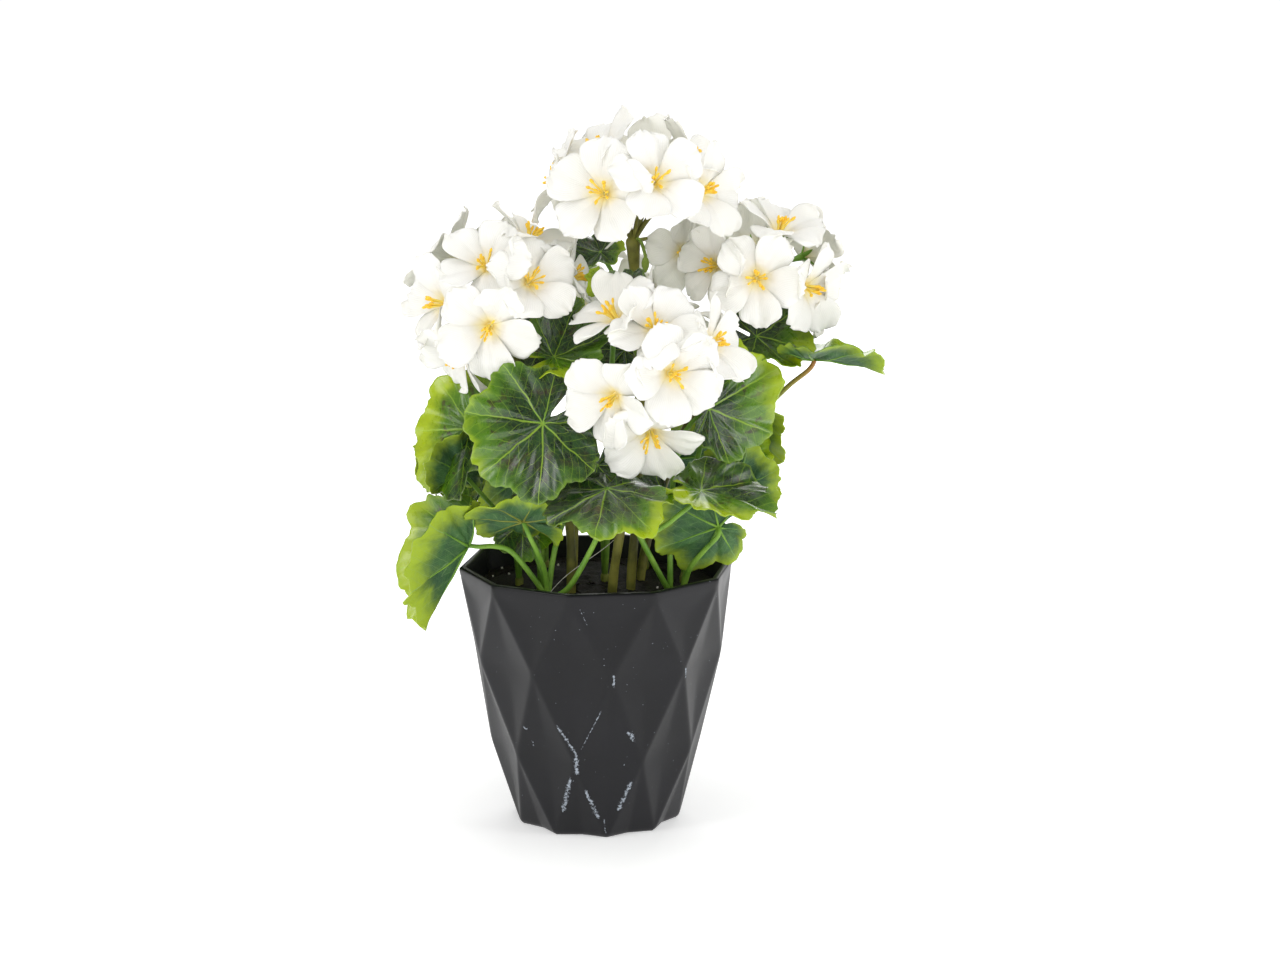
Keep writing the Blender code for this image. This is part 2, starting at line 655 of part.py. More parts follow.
def leaf_shell(item, seed):
    """Closed blade of one leaf, split alike on both faces."""
    side = LOBE_ANGLE * LOBES / 2
    veins = [LOBE_ANGLE * (j + 0.5) - side for j in range(LOBES)]
    corners = (-1.0, -FINE_CORNER, FINE_CORNER) if item.fine else (-1.0, 0.0)
    rim = [vein + LOBE_ANGLE / 2 * corner for vein in veins for corner in corners] + [side]
    inside = [-side] + veins + [side]
    local = [Vector((0, 0, 0)), leaf_point(item, 180, 1, seed)]
    local += [leaf_point(item, angle, RING_AT, seed) for angle in inside]
    local += [leaf_point(item, angle, 1, seed) for angle in rim]
    first, outer = 2, 2 + len(inside)
    triangles = [(0, 1, first), (0, outer - 1, 1)]
    at = 0
    for j in range(len(inside) - 1):
        triangles.append((0, first + j, first + j + 1))
        middle_angle = (inside[j] + inside[j + 1]) / 2
        while at < len(rim) - 1 and (rim[at] + rim[at + 1]) / 2 < middle_angle:
            triangles.append((first + j, outer + at, outer + at + 1))
            at += 1
        triangles.append((first + j, outer + at, first + j + 1))
    while at < len(rim) - 1:
        triangles.append((outer - 1, outer + at, outer + at + 1))
        at += 1
    frame = leaf_frame(item)
    points, faces = thicken(local, triangles, LEAF_THICKNESS)
    return [frame @ p for p in points], faces


def petiole_path(item, base):
    """Path of a leaf's stalk, from the short stem in the soil to the leaf's joint."""
    frame = leaf_frame(item).to_3x3()
    normal = frame @ Vector((0, 0, 1))
    tip = frame @ Vector((1, 0, 0))
    place = Vector(item.place)
    root = Vector((*base, SOIL_TOP + 1))
    arrive = (normal * 0.8 + tip * 0.35).normalized()
    if item.via:
        stops = [Vector(v) for v in item.via]
        near = place - arrive * PETIOLE_ARRIVAL
        return smooth_path([root] + stops + [near, place + normal * 0.2], 2)
    reach = (place - root).length
    return bezier(root, root + Vector((0, 0, reach * 0.45)), place - arrive * reach * 0.3,
                  place + normal * 0.2, 4)


def make_spray(name, base, leaves, finish, seed):
    foot = Vector((*base, SOIL_TOP - LEAF_HOLE_DEPTH))
    top = Vector((*base, SOIL_TOP + STUB_HEIGHT))
    shells = [tube([foot, top], [STUB_RADIUS, STUB_RADIUS * 0.8], STUB_SIDES)]
    for index, item in enumerate(leaves):
        path = petiole_path(item, base)
        radii = [PETIOLE_RADIUS * (1.15 - 0.3 * i / len(path)) for i in range(len(path))]
        shells.append(tube(path, radii, PETIOLE_SIDES))
        shells.append(leaf_shell(item, seed + index))
    return fuse(name, shells, finish)


def build():
    for old in list(bpy.data.objects):
        bpy.data.objects.remove(old)
    black = material("satin_black", (0.028, 0.027, 0.030), 0.42)
    earth = material("dark_soil", (0.014, 0.012, 0.011), 0.95)
    olive = material("olive_stem", (0.16, 0.18, 0.04), 0.6)
    white = material("white_silk", (0.86, 0.86, 0.84), 0.75)
    yellow = material("golden_stamen", (0.85, 0.50, 0.04), 0.55)
    green = material("leaf_green", (0.06, 0.17, 0.02), 0.45)

    make_pot(black)
    holes = []
    for number, (name, head) in enumerate(HEADS.items()):
        make_flower_stem(f"flower_stem_{name}", head, olive)
        holes.append((head.root, STEM_RADIUS, FLOWER_HOLE_DEPTH, STEM_SIDES))
        seed = 10 * (number + 1)
        petals = [corolla(head, item, seed + i) for i, item in enumerate(head.blooms)]
        fuse(f"flower_head_{name}", petals, white)
        for i, item in enumerate(head.blooms):
            make_object(f"stamens_{name}_{i + 1}", stamens(head, item, seed + i), yellow)
    for number, (name, (base, leaves)) in enumerate(SPRAYS.items()):
        make_spray(f"leaf_spray_{name}", base, leaves, green, 100 + 10 * number)
        holes.append((base, STUB_RADIUS, LEAF_HOLE_DEPTH, STUB_SIDES))
    make_soil(earth, holes)


build()
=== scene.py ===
from collections import namedtuple
from itertools import product
from math import atan2, cos, exp, hypot, pi, radians, sin, sqrt

import bpy
from mathutils import Matrix, Vector, noise


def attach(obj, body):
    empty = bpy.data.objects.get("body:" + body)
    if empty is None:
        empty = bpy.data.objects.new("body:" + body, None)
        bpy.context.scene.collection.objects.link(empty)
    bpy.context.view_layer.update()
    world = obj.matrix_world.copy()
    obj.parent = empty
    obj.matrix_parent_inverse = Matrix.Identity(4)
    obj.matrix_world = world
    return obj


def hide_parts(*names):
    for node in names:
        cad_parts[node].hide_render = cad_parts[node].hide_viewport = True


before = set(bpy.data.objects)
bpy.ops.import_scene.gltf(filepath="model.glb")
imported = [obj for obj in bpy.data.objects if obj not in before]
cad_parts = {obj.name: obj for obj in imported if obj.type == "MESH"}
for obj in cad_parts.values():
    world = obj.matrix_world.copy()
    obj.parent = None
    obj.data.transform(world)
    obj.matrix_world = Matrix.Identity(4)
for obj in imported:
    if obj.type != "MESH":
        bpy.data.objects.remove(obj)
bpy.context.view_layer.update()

MM = 0.001
GAP = 0.3

# Pot: rings of ten corners, from the rim down, and the wall inside them
SIDES = 10
RIM_PHASE = -10.7
STEP = 360 / SIDES
POT_HEIGHT = 128.0
RIM_RADIUS = 67.5
LIP_DEPTH = 3.4
UPPER_RING = (86.0, 62.5)
LOWER_RING = (41.0, 53.0)
FOOT_RADIUS = 41.5
FOOT_FOLD_RADIUS = 37.0
SCOOP_DEPTH = 1.3
DIAMOND_DEPTH = 2.5
FLOOR_THICKNESS = 5.0
CAVITY = ((POT_HEIGHT, 64.0), (86.0, 54.0), (41.0, 45.0), (FLOOR_THICKNESS, 33.0))

# Soil: fills the pot to a little below the rim
SOIL_TOP = 118.0
FLOWER_HOLE_DEPTH = 26.0
LEAF_HOLE_DEPTH = 20.0

# Flower stems
STEM_RADIUS = 2.3
CALYX_LENGTH = 4.0
STEM_RISE = (3.0, 10.0)

# Blooms: five petals that rise from the throat and roll outwards
PETALS = 5
PETAL_LENGTH = 27.5
PETAL_ROOT = 1.5
PETAL_HALF_WIDTH = 11.0
PETAL_THICKNESS = 0.7
THROAT_ANGLE = 55.0
TIP_ANGLE = -15.0
TIP_SPREAD = 14.0
PETAL_CUP = 1.1
PETAL_TWIST = 0.8
NECK_WIDTH = 0.14
PETAL_END = 1.04

# Leaves: seven shallow lobes about the petiole, with a notch behind it
LOBES = 7
LOBE_ANGLE = 48.0
NOTCH_DEPTH = 0.15
LEAF_DISH = 0.07
LEAF_PLEAT = 1.3
SINUS_REACH = 0.12
PETIOLE_RADIUS = 1.3
STUB_RADIUS = 2.1
PETIOLE_ARRIVAL = 6.0

Bloom = namedtuple("Bloom", "azimuth elevation spin scale reach face", defaults=(1.0, 32.0, None))
Head = namedtuple("Head", "centre hub root bend blooms buds", defaults=[()])
Leaf = namedtuple("Leaf", "place radius normal tip fold arch wave via base", defaults=(0.0, 0.0, 1.5, (), 0.72))

# Heads: each bloom's azimuth and elevation about the head's centre, its spin and scale,
# its reach from the centre, and which way it faces if not outwards
HEADS = {
    "top": Head((19, -5, 303), (18, -1, 287), (17, -10), (3, 2), [
        Bloom(-25, 18, 3, 1.04, reach=34, face=(-18, 14)),
        Bloom(14, 24, -10, 0.96, reach=39, face=(16, 28)),
        Bloom(61, 17, 24, 0.94, reach=35, face=(52, 14)),
        Bloom(-92, 22, 10, reach=33),
        Bloom(-62, 55, 38, 0.95, reach=30),
        Bloom(90, 45, 40, 0.95, reach=31),
        Bloom(92, 6, -36, 0.7, reach=28, face=(78, -28)),
        Bloom(126, -38, 0, 0.8, reach=36, face=(12, -8)),
        Bloom(164, 26, 6),
        Bloom(-148, 18, 0, reach=31),
    ], [((24, -7, 281), 1.6)]),
    "left": Head((-45, -15, 258), (-44, -12, 243), (-12, -18), (7, 3), [
        Bloom(-7, -8, -42),
        Bloom(28, 26, 0, 0.92),
        Bloom(-12, 40, 20, 0.92),
        Bloom(-62, 6, -14, 0.95, reach=28),
        Bloom(88, 22, 30, 0.92),
        Bloom(80, 66, 0, 0.92, reach=31),
        Bloom(-52, -40, 0, 0.9, reach=29),
        Bloom(-114, 40, 12, reach=29),
        Bloom(176, 22, 0, reach=29),
    ]),
    "front": Head((25, -42, 233), (25, -38, 218), (8, -30), (-1, -4), [
        Bloom(-28, -15, -34, 0.95),
        Bloom(18, 4, -20, 0.97),
        Bloom(3, -56, 16, 0.98, face=(4, -36)),
        Bloom(7, 38, -35, 0.9),
        Bloom(-47, 51, -30, 0.92, reach=30),
        Bloom(64, 22, 10, 0.92),
        Bloom(105, 60, 0, 0.86, reach=25, face=(105, 66)),
    ]),
    "right": Head((75, 10, 270), (73, 18, 256), (22, 10), (-4, 7), [
        Bloom(3, 4, -40, 0.92),
        Bloom(50, -6, 10, 0.92),
        Bloom(-34, 14, 0, 0.78, reach=30, face=(-36, 6)),
        Bloom(40, 46, 32, 0.9, reach=28, face=(48, 68)),
        Bloom(84, -18, 24, 0.82, reach=30),
        Bloom(112, 14, 12, 0.92, reach=29),
        Bloom(178, 16, 0, 0.95, reach=29),
    ]),
    "back": Head((-8, 58, 236), (-8, 56, 221), (-12, 20), (0, 6), [
        Bloom(180, 6, 0),
        Bloom(128, 16, 20, 0.95),
        Bloom(-128, 16, 10, 0.95),
        Bloom(176, 60, 30, 0.92),
        Bloom(78, 24, 0, 0.9),
        Bloom(-76, 24, -6, 0.86, reach=30),
    ]),
}

# Sprays: each leaf's joint, radius, upper face, the way its tip points, its fold and its arch
SPRAYS = {
    "front_left": ((-23, -36), [
        Leaf((-61, -45, 147), 43, (-78, 30), (-0.52, -0.1, -0.85), 50, 12, via=[(-40, -44, 144)],
             base=0.42),
        Leaf((-34, -50, 160), 28, (170, 55), (-1, 0.1, 0.35), arch=25),
        Leaf((6, -66, 179), 37, (0, 72), (-0.15, -1, -0.3), -14, 28, wave=3.0, base=0.6,
             via=[(-12, -48, 128), (3, -56, 158)]),
        Leaf((-35, -31, 155.5), 19.5, (20, 5), (0.7, 0, -0.7), 10, 15),
        Leaf((1, -29.5, 183), 17, (7, 5), (-0.15, 0, -1), 9),
    ]),
    "left": ((-27, -18), [
        Leaf((-24, -61, 209.5), 39, (4, 18), (-0.75, -0.2, -0.6), 4, 18, base=0.52),
        Leaf((-19, -44, 238), 27, (5, 40), (0.8, -0.1, 0.55), 30, -8, wave=2.0, base=0.45),
    ]),
    "left_back": ((-38, 0), [
        Leaf((-60, -24, 200), 37, (-45, 28), (-0.8, -0.3, -0.25), 10, 25),
        Leaf((-64, -23, 178), 26, (-140, 15), (-0.3, 0, 1), arch=12, base=0.3),
    ]),
    "right": ((36, -26), [
        Leaf((50, -60, 177), 36, (15, 76), (1, -0.2, -0.15), 6, 26, wave=2.6, base=0.3,
             via=[(23, -44, 148), (15, -50, 168), (26, -58, 157), (40, -61, 166)]),
        Leaf((54, -42, 213), 40, (22, 12), (0.83, -0.1, 0.42), -8, 14, wave=1.6, base=0.2),
        Leaf((33.5, -17.5, 164), 20, (-10, 20), (-0.2, 0, -1), 10),
    ]),
    "right_low": ((42, -24), [
        Leaf((59, -35, 154), 33, (185, 20), (-0.9, 0, -0.3), 8, 10, base=0.2),
        Leaf((68, -12, 168), 26, (168, 5), (0.3, 0, 1), arch=15, base=0.4),
    ]),
    "right_back": ((43, 6), [
        Leaf((78, 1, 240.5), 29, (10, 50), (0.97, -0.1, -0.05), 14, 14, wave=1.6, base=0.36),
        Leaf((105, -8, 231), 36, (178, 80), (0.97, -0.1, -0.22), 10, 22, wave=2.6, base=0.4,
             via=[(76, 0, 196)]),
        Leaf((72, 13, 178), 27, (60, 35), (1, 0.2, -0.1), 12, 20, base=0.4),
    ]),
    "middle": ((4, 8), [
        Leaf((10, -25, 269), 17, (-10, 62), (-0.2, -1, 0.1), 18, wave=2.0, via=[(8, -12, 230)]),
        Leaf((2, 22, 279), 16, (-25, 55), (-0.8, -0.4, 0.1), 12, wave=2.0),
        Leaf((-22, 0, 246), 25, (-15, 35), (-0.4, -0.8, -0.3), 15),
        Leaf((14, 14, 232), 19, (5, 8), (0.1, 0, -1), 8),
    ]),
    "back_right": ((24, 34), [
        Leaf((66, 44, 196), 38, (120, 35), (0.6, 0.6, -0.4), 12, 30),
        Leaf((36, 74, 166), 37, (155, 30), (0.3, 0.8, -0.5), 10, 30),
    ]),
    "back_left": ((-26, 34), [
        Leaf((-62, 40, 186), 38, (-120, 32), (-0.6, 0.5, -0.4), 12, 30),
        Leaf((-32, 76, 160), 37, (-160, 30), (-0.3, 0.8, -0.5), 10, 30),
        Leaf((-64, 16, 148), 32, (-95, 25), (-0.8, 0.2, -0.5), 15, 25),
    ]),
}


def wobble(*keys):
    """A repeatable value from -1 to 1 that looks random and depends only on the keys."""
    total = sum(sin((i + 1) * 12.9898 + key * (78.233 + 3.17 * i)) for i, key in enumerate(keys)) * 43758.5453
    return 2 * (total % 1) - 1


def up(height):
    return Vector((0, 0, height))


def direction(azimuth, elevation):
    """Unit vector from an azimuth and an elevation in degrees."""
    a, e = radians(azimuth), radians(elevation)
    return Vector((sin(a) * cos(e), -cos(a) * cos(e), sin(e)))


def frame_of(place, normal, along):
    """Matrix whose Z is the normal and whose X is the part of along that lies across it."""
    z = normal.normalized()
    x = (along - z * along.dot(z)).normalized()
    y = z.cross(x)
    matrix = Matrix((x, y, z)).transposed().to_4x4()
    matrix.translation = place
    return matrix


def bezier(a, b, c, d, steps):
    """Points along a cubic curve, both ends included."""
    shares = [(i / steps, 1 - i / steps) for i in range(steps + 1)]
    return [a * s ** 3 + b * 3 * s * s * t + c * 3 * s * t * t + d * t ** 3 for t, s in shares]


def smooth_path(points, steps):
    """Points along a smooth curve through the given ones."""
    path = [points[0]]
    for i in range(len(points) - 1):
        before = points[max(i - 1, 0)]
        after = points[min(i + 2, len(points) - 1)]
        a, d = points[i], points[i + 1]
        path += bezier(a, a + (d - before) / 6, d - (after - a) / 6, d, steps)[1:]
    return path


def ring(height, radius, phase):
    """Corners of a level ring, the first at the given azimuth."""
    return [direction(phase + STEP * k, 0) * radius + up(height) for k in range(SIDES)]


def cavity_radius(height):
    """Corner radius of the pot's inside at a height."""
    for (z1, r1), (z0, r0) in zip(CAVITY, CAVITY[1:]):
        if height >= z0:
            return r0 + (r1 - r0) * (height - z0) / (z1 - z0)
    return CAVITY[-1][1]


def bloom_frame(head, item):
    """Frame of a bloom: Z is the way it faces, X its first petal, and its place the throat."""
    place = Vector(head.centre) + direction(item.azimuth, item.elevation) * item.reach
    normal = direction(*(item.face or item[:2]))
    level = up(1) if abs(normal.z) < 0.95 else Vector((0, 1, 0))
    upright = frame_of(place, normal, level)
    return upright @ Matrix.Rotation(radians(-item.spin), 4, "Z")


def pedicel_path(head, item):
    """Path of a bloom's own stalk, from the top of the stem to just under the throat."""
    throat = bloom_frame(head, item)
    normal = throat.to_3x3() @ up(1)
    hub = Vector(head.hub)
    top = throat.translation - normal * (PETAL_THICKNESS / 2 + GAP)
    base = top - normal * CALYX_LENGTH
    reach = (base - hub).length
    rise = (up(0.5) + (base - hub).normalized()).normalized()
    return bezier(hub, hub + rise * reach * 0.4, base - normal * reach * 0.4, base, 3) + [top]


def stem_path(head):
    """Path of a flower stem, from its hole in the soil to the node that carries the blooms."""
    root = Vector((*head.root, SOIL_TOP))
    hub = Vector(head.hub)
    bend = Vector((*head.bend, 0))
    foot = root - up(FLOWER_HOLE_DEPTH)
    low, high = STEM_RISE
    return [foot, root + up(low)] + bezier(
        root + up(high), root.lerp(hub, 0.35) + bend * 2, root.lerp(hub, 0.7) + bend, hub, 5)[1:]


def leaf_frame(item):
    return frame_of(Vector(item.place), direction(*item.normal), Vector(item.tip))


def petiole_path(item, base):
    """Path of a leaf's stalk, from the short stem in the soil to the leaf's joint."""
    turned = leaf_frame(item).to_3x3()
    normal = turned @ up(1)
    tip = turned @ Vector((1, 0, 0))
    place = Vector(item.place)
    root = Vector((*base, SOIL_TOP + 1))
    arrive = (normal * 0.8 + tip * 0.35).normalized()
    if item.via:
        stops = [Vector(v) for v in item.via]
        near = place - arrive * PETIOLE_ARRIVAL
        return smooth_path([root] + stops + [near, place + normal * 0.2], 2)
    reach = (place - root).length
    return bezier(root, root + up(reach * 0.45), place - arrive * reach * 0.3,
                  place + normal * 0.2, 4)


# Petals of thin cloth: rows from the throat outwards, columns across, their form and their ruffles
PETAL_ROWS = (0.0, 0.06, 0.14, 0.24, 0.35, 0.46, 0.57, 0.67, 0.76, 0.84, 0.91, 0.96, 1.0)
PETAL_COLUMNS = 16
PETAL_CLOTH = 0.28
PETAL_TAPER = 1.6
PETAL_WIDEST = 0.68
PETAL_TILT = 1.8
PETAL_WAVE = 0.9
PETAL_RUFFLE = 0.65
PETAL_GROOVE = 0.8
GROOVE_WIDTH = 0.16
EDGE_ROLL = 1.9
TIP_CURL = 1.8
TIP_ROUNDING = 2.3
TIP_NOTCH = 0.5
TIP_JAGS = 0.4

# Stamens: a dome in the throat, as heights and radii, and filaments that end in anthers
THROAT_DOME = ((-0.2, 1.7), (0.5, 1.7), (1.3, 1.1), (1.7, 0.3))
FILAMENTS = 11
FILAMENT_LENGTH = 9.4
FILAMENT_RADII = (0.55, 0.53, 0.51, 0.49, 0.48, 0.48, 0.5, 0.66, 0.84, 0.78, 0.36)
ANTHER_STEPS = (0.5, 1.2, 2.2, 2.8)
ANTHER_FLATNESS = 0.7

# Sepals: shares of the petal's length, and half widths
SEPAL_ROWS = ((0.0, 0.9), (0.08, 1.15), (0.16, 1.0), (0.24, 0.6), (0.3, 0.1))
SEPAL_THICKNESS = 0.35
SEPAL_RIM = (0, 1, 2, 5, 8, 11, 14, 13, 12, 9, 6, 3)

# Stems: the swollen node at the top, and the hanging bud as drops and radii
NODE_RADII = (2.8, 3.3, 3.7, 3.0, 1.2)
NODE_RISES = (1.6, 2.6)
PEDICEL_END_RADII = (1.3, 2.0)
BUD_PROFILE = ((0.8, 0.9), (1.8, 1.5), (3.4, 1.9), (5.2, 1.75), (7.0, 1.1), (8.2, 0.3))
BUD_RADIUS = 1.6
BUD_STALK_RADIUS = 0.85
BUD_STALK_RISE = 7

# Leaves of thin cloth: rows from the joint outwards, teeth, frills, pleats and the ribs under them
LEAF_CLOTH = 0.45
LEAF_ROWS = (0.07, 0.16, 0.26, 0.36, 0.46, 0.56, 0.66, 0.75, 0.83, 0.9, 0.95, 0.98, 1.0)
COLUMNS_PER_LOBE = 14
NOTCH_ROWS = 4
USUAL_RADIUS = 38
TOOTH_ANGLE = 12.0
LEAF_RIPPLE = 1.3
LEAF_CREASE = 1.5
RIB_SHARES = (0.02, 0.12, 0.24, 0.36, 0.48, 0.6, 0.7)
RIB_RADIUS = 0.75
RIB_LEAF_RADIUS = 36

# Each leaf's tone, from 0 for dark green to 1 for yellow-green, and the side of the picture
# its light part faces, in degrees from the right by way of the top, in the order of its spray;
# that light part is partly the print's yellow-green and partly painted light on lit folds
TONES = {
    "front_left": ((0.75, 200), (0.35, 120), (0.15, 290), (0.1, 0), (0.05, 0)),
    "left": ((0.06, 185), (0.6, 250)),
    "left_back": ((0.42, 150), (0.25, 180)),
    "right": ((0.7, 250), (0.3, 30), (0.1, 0)),
    "right_low": ((0.2, 0), (0.4, 0)),
    "right_back": ((0.3, 330), (0.25, 300), (0.55, 320)),
    "middle": ((0.2, 180), (0.15, 0), (0.1, 60), (0.1, 0)),
    "back_right": ((0.4, 0), (0.5, 60)),
    "back_left": ((0.4, 180), (0.5, 120), (0.4, 180)),
}
RUSTY_RIBS = ("front_left", 1)
RUSTY_PETIOLE = ("right_back", 1)

# Soil: rings and columns of its surface, lumps as (pitch, layer, height), and what lies on it
EARTH_RINGS = 22
EARTH_COLUMNS = 64
EARTH_DEPTH = 14
EARTH_LUMPS = ((0.06, 1.0, 1.6), (0.22, 5.0, 1.3), (0.7, 9.0, 0.6))
GRAINS = 1500
GRAIN_REACH = 56.5
PALE_GRAIN_ABOVE = 0.955
PALE_SPECKS = ((-48, 31.6), (-39.4, 31), (-44, 22), (-20, 38), (-8, 30), (30, -8), (38, 2), (-52, 12))
PALE_SPECK_SIZE = 0.85
GLUE_THREAD = ((12, -32, 150), (0, -36, 138), (-14, -34, 134), (-24, -37, 119))
GLUE_RADIUS = 0.16

# Pot: cuts along each edge of a facet, and its lip as drops under the rim and steps from a radius
POT_CUTS = 20
MERGE_NUDGE = 0.002
OUTER_LIP = ((LIP_DEPTH, 0.1), (2.0, 0), (0.9, 0), (0.4, 0.15), (0.1, 0.5), (0, 1.0))
INNER_LIP = ((0, 0.7), (0.2, 0.25), (0.7, 0))
INNER_HEIGHTS = (120, 110, UPPER_RING[0], LOWER_RING[0], FLOOR_THICKNESS)
BASE_INSET = 0.965

# Scuffs on the pot's wall: both ends of each in millimetres, and its half width
SCUFFS = (
    ((-18.4, -53.3, 60.3), (-9.8, -52.7, 46.7), 1.0),
    ((-9.4, -52.6, 44.7), (-9.0, -50.4, 36.0), 1.7),
    ((-12.4, -48.4, 31.8), (-16.0, -42.0, 14.7), 1.7),
    ((-4.7, -47.8, 25.6), (1.0, -44.3, 11.8), 1.4),
    ((17.0, -46.0, 29.1), (11.2, -43.8, 15.7), 1.5),
    ((16.6, -52.7, 56.2), (18.0, -51.8, 53.4), 1.9),
    ((9.1, -61.6, 87.0), (9.0, -60.7, 81.8), 0.9),
    ((43.5, -44.1, 86.1), (43.5, -42.8, 81.8), 0.9),
    ((-34.6, -43.3, 56.9), (-33.6, -43.3, 55.9), 0.9),
    ((-30.8, -42.1, 49.0), (-30.4, -41.8, 47.4), 0.8),
    ((-6.9, -65.0, 120.6), (-3.6, -64.3, 113.1), 0.3),
    ((-6.9, -53.7, 48.5), (2.8, -57.7, 68.6), 0.45),
    ((3.9, -43.3, 10.0), (4.8, -41.7, 2.3), 0.5),
)


def add_object(name, data):
    made = bpy.data.objects.new(name, data)
    bpy.context.scene.collection.objects.link(made)
    return made


class Gather:
    """Points, faces, UVs, tints and slots of one piece, in millimetres."""

    def __init__(self):
        self.points, self.faces, self.slots, self.uvs, self.tints = [], [], [], [], []

    def add(self, points, faces, slot=0, uvs=None, tints=(0.0, 0.0, 0.0)):
        """Add faces, with one tint for all of them or one for each point."""
        start = len(self.points)
        self.points += points
        self.faces += [tuple(i + start for i in face) for face in faces]
        self.slots += [slot] * len(faces)
        self.uvs += uvs or [(0.0, 0.0)] * len(points)
        self.tints += tints if isinstance(tints, list) else [tints] * len(points)

    def tube(self, path, radii, sides, tint, slot=0, flat=1.0):
        """Add a closed tube along a path, round or flattened, with one tint or one for each ring."""
        count = len(path)
        tangents = [(path[min(i + 1, count - 1)] - path[max(i - 1, 0)]).normalized() for i in range(count)]
        side = tangents[0].orthogonal().normalized()
        points, faces = [], []
        for place, tangent, radius in zip(path, tangents, radii):
            side = (side - tangent * side.dot(tangent)).normalized()
            other = tangent.cross(side)
            for j in range(sides):
                turn = 2 * pi * j / sides
                points.append(place + side * (radius * cos(turn)) + other * (radius * flat * sin(turn)))
        for low in range(0, (count - 1) * sides, sides):
            high = low + sides
            for j in range(sides):
                k = (j + 1) % sides
                faces.append((low + j, low + k, high + k, high + j))
        faces.append(tuple(reversed(range(sides))))
        faces.append(tuple(range((count - 1) * sides, count * sides)))
        if isinstance(tint, list):
            tint = [ring_tint for ring_tint in tint for _ in range(sides)]
        self.add(points, faces, slot, None, tint)

    def make(self, name, materials, slot, nodes, thickness=0.0):
        """Turn what was gathered into a piece that stands for the named nodes."""
        mesh = bpy.data.meshes.new(name)
        mesh.from_pydata([tuple(p * MM) for p in self.points], [], self.faces)
        for item in materials:
            mesh.materials.append(item)
        mesh.polygons.foreach_set("material_index", self.slots)
        layer = mesh.uv_layers.new(name="UVMap")
        corner = [0] * len(mesh.loops)
        mesh.loops.foreach_get("vertex_index", corner)
        layer.data.foreach_set("uv", [c for i in corner for c in self.uvs[i]])
        tint = mesh.color_attributes.new("tint", "FLOAT_COLOR", "POINT")
        tint.data.foreach_set("color", [c for t in self.tints for c in (*t, 1.0)])
        mesh.shade_smooth()
        made = add_object(name, mesh)
        if thickness:
            shell = made.modifiers.new("cloth", "SOLIDIFY")
            shell.thickness = thickness * MM
            shell.offset = 0.0
            shell.material_offset = 1
            shell.material_offset_rim = 0
        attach(made, "root")
        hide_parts(*nodes)
        return made


def smooth(low, high, value):
    """Smooth ramp from 0 at low to 1 at high."""
    t = min(max((value - low) / (high - low), 0.0), 1.0)
    return t * t * (3 - 2 * t)


# Blooms

def petal_place(k, s, v, item, seed):
    """Point on petal k, s from -1 to 1 across it and v from 0 to 1 outwards, in the bloom's frame."""
    def luck(key):
        return wobble(seed, k + key)

    start = radians(THROAT_ANGLE)
    turn = radians(TIP_ANGLE + TIP_SPREAD * luck(1)) - start
    now = start + turn * v
    out = PETAL_ROOT * min(1, 0.25 + v * 8) + PETAL_LENGTH * (sin(now) - sin(start)) / turn
    rise = PETAL_LENGTH * (cos(start) - cos(now)) / turn
    if v < PETAL_WIDEST:
        width = NECK_WIDTH + (1 - NECK_WIDTH) * sin(pi / 2 * v / PETAL_WIDEST) ** PETAL_TAPER
    else:
        beyond = (v - PETAL_WIDEST) / (PETAL_END - PETAL_WIDEST)
        width = sqrt(max(1 - beyond ** 2, 0)) * 0.75 + 0.25 * (1 - beyond ** 3)
    side = PETAL_HALF_WIDTH * (1.0 + 0.06 * luck(3)) * width * s
    rise += v * (PETAL_CUP * s * s + PETAL_TWIST * s * luck(7))
    rise += PETAL_TILT * s * smooth(0.1, 0.5, v)
    rise += v * v * abs(s) ** 3 * (EDGE_ROLL * luck(11) + (1.3 if s > 0 else -0.4))
    rise += v * v * PETAL_WAVE * sin(4.0 * s + 3 * luck(13))
    rise += smooth(0.5, 1.0, v) * PETAL_RUFFLE * sin(8.5 * s + 5 * luck(17) + 3 * v)
    rise -= PETAL_GROOVE * exp(-(s / GROOVE_WIDTH) ** 2) * smooth(0.0, 0.4, v) * smooth(1.0, 0.6, v)
    rise += smooth(0.7, 1.0, v) * TIP_CURL * luck(19)
    out -= (TIP_ROUNDING * s * s + TIP_NOTCH * exp(-(s / 0.2) ** 2)) * smooth(0.72, 1.0, v)
    jags = TIP_JAGS * sin(11 * s + 6 * luck(23)) + 0.1 * wobble(seed, 40 * k + round(20 * s))
    out += jags * smooth(0.85, 1, v)
    angle = 2 * pi * k / PETALS
    x = out * cos(angle) - side * sin(angle)
    y = out * sin(angle) + side * cos(angle)
    return Vector((x, y, rise)) * item.scale


def add_petals(gather, place, item, seed):
    wide = PETAL_COLUMNS + 1
    faces = []
    for i in range(len(PETAL_ROWS) - 1):
        for j in range(PETAL_COLUMNS):
            a = i * wide + j
            faces.append((a, a + wide, a + wide + 1, a + 1))
    for k in range(PETALS):
        points, uvs, tints = [], [], []
        for v in PETAL_ROWS:
            for j in range(wide):
                s = 2 * j / PETAL_COLUMNS - 1
                points.append(place @ petal_place(k, s, v, item, seed))
                uvs.append((0.5 + 0.5 * s, v))
                tints.append((v, 0.0, 0.0))
        gather.add(points, faces, 0, uvs, tints)


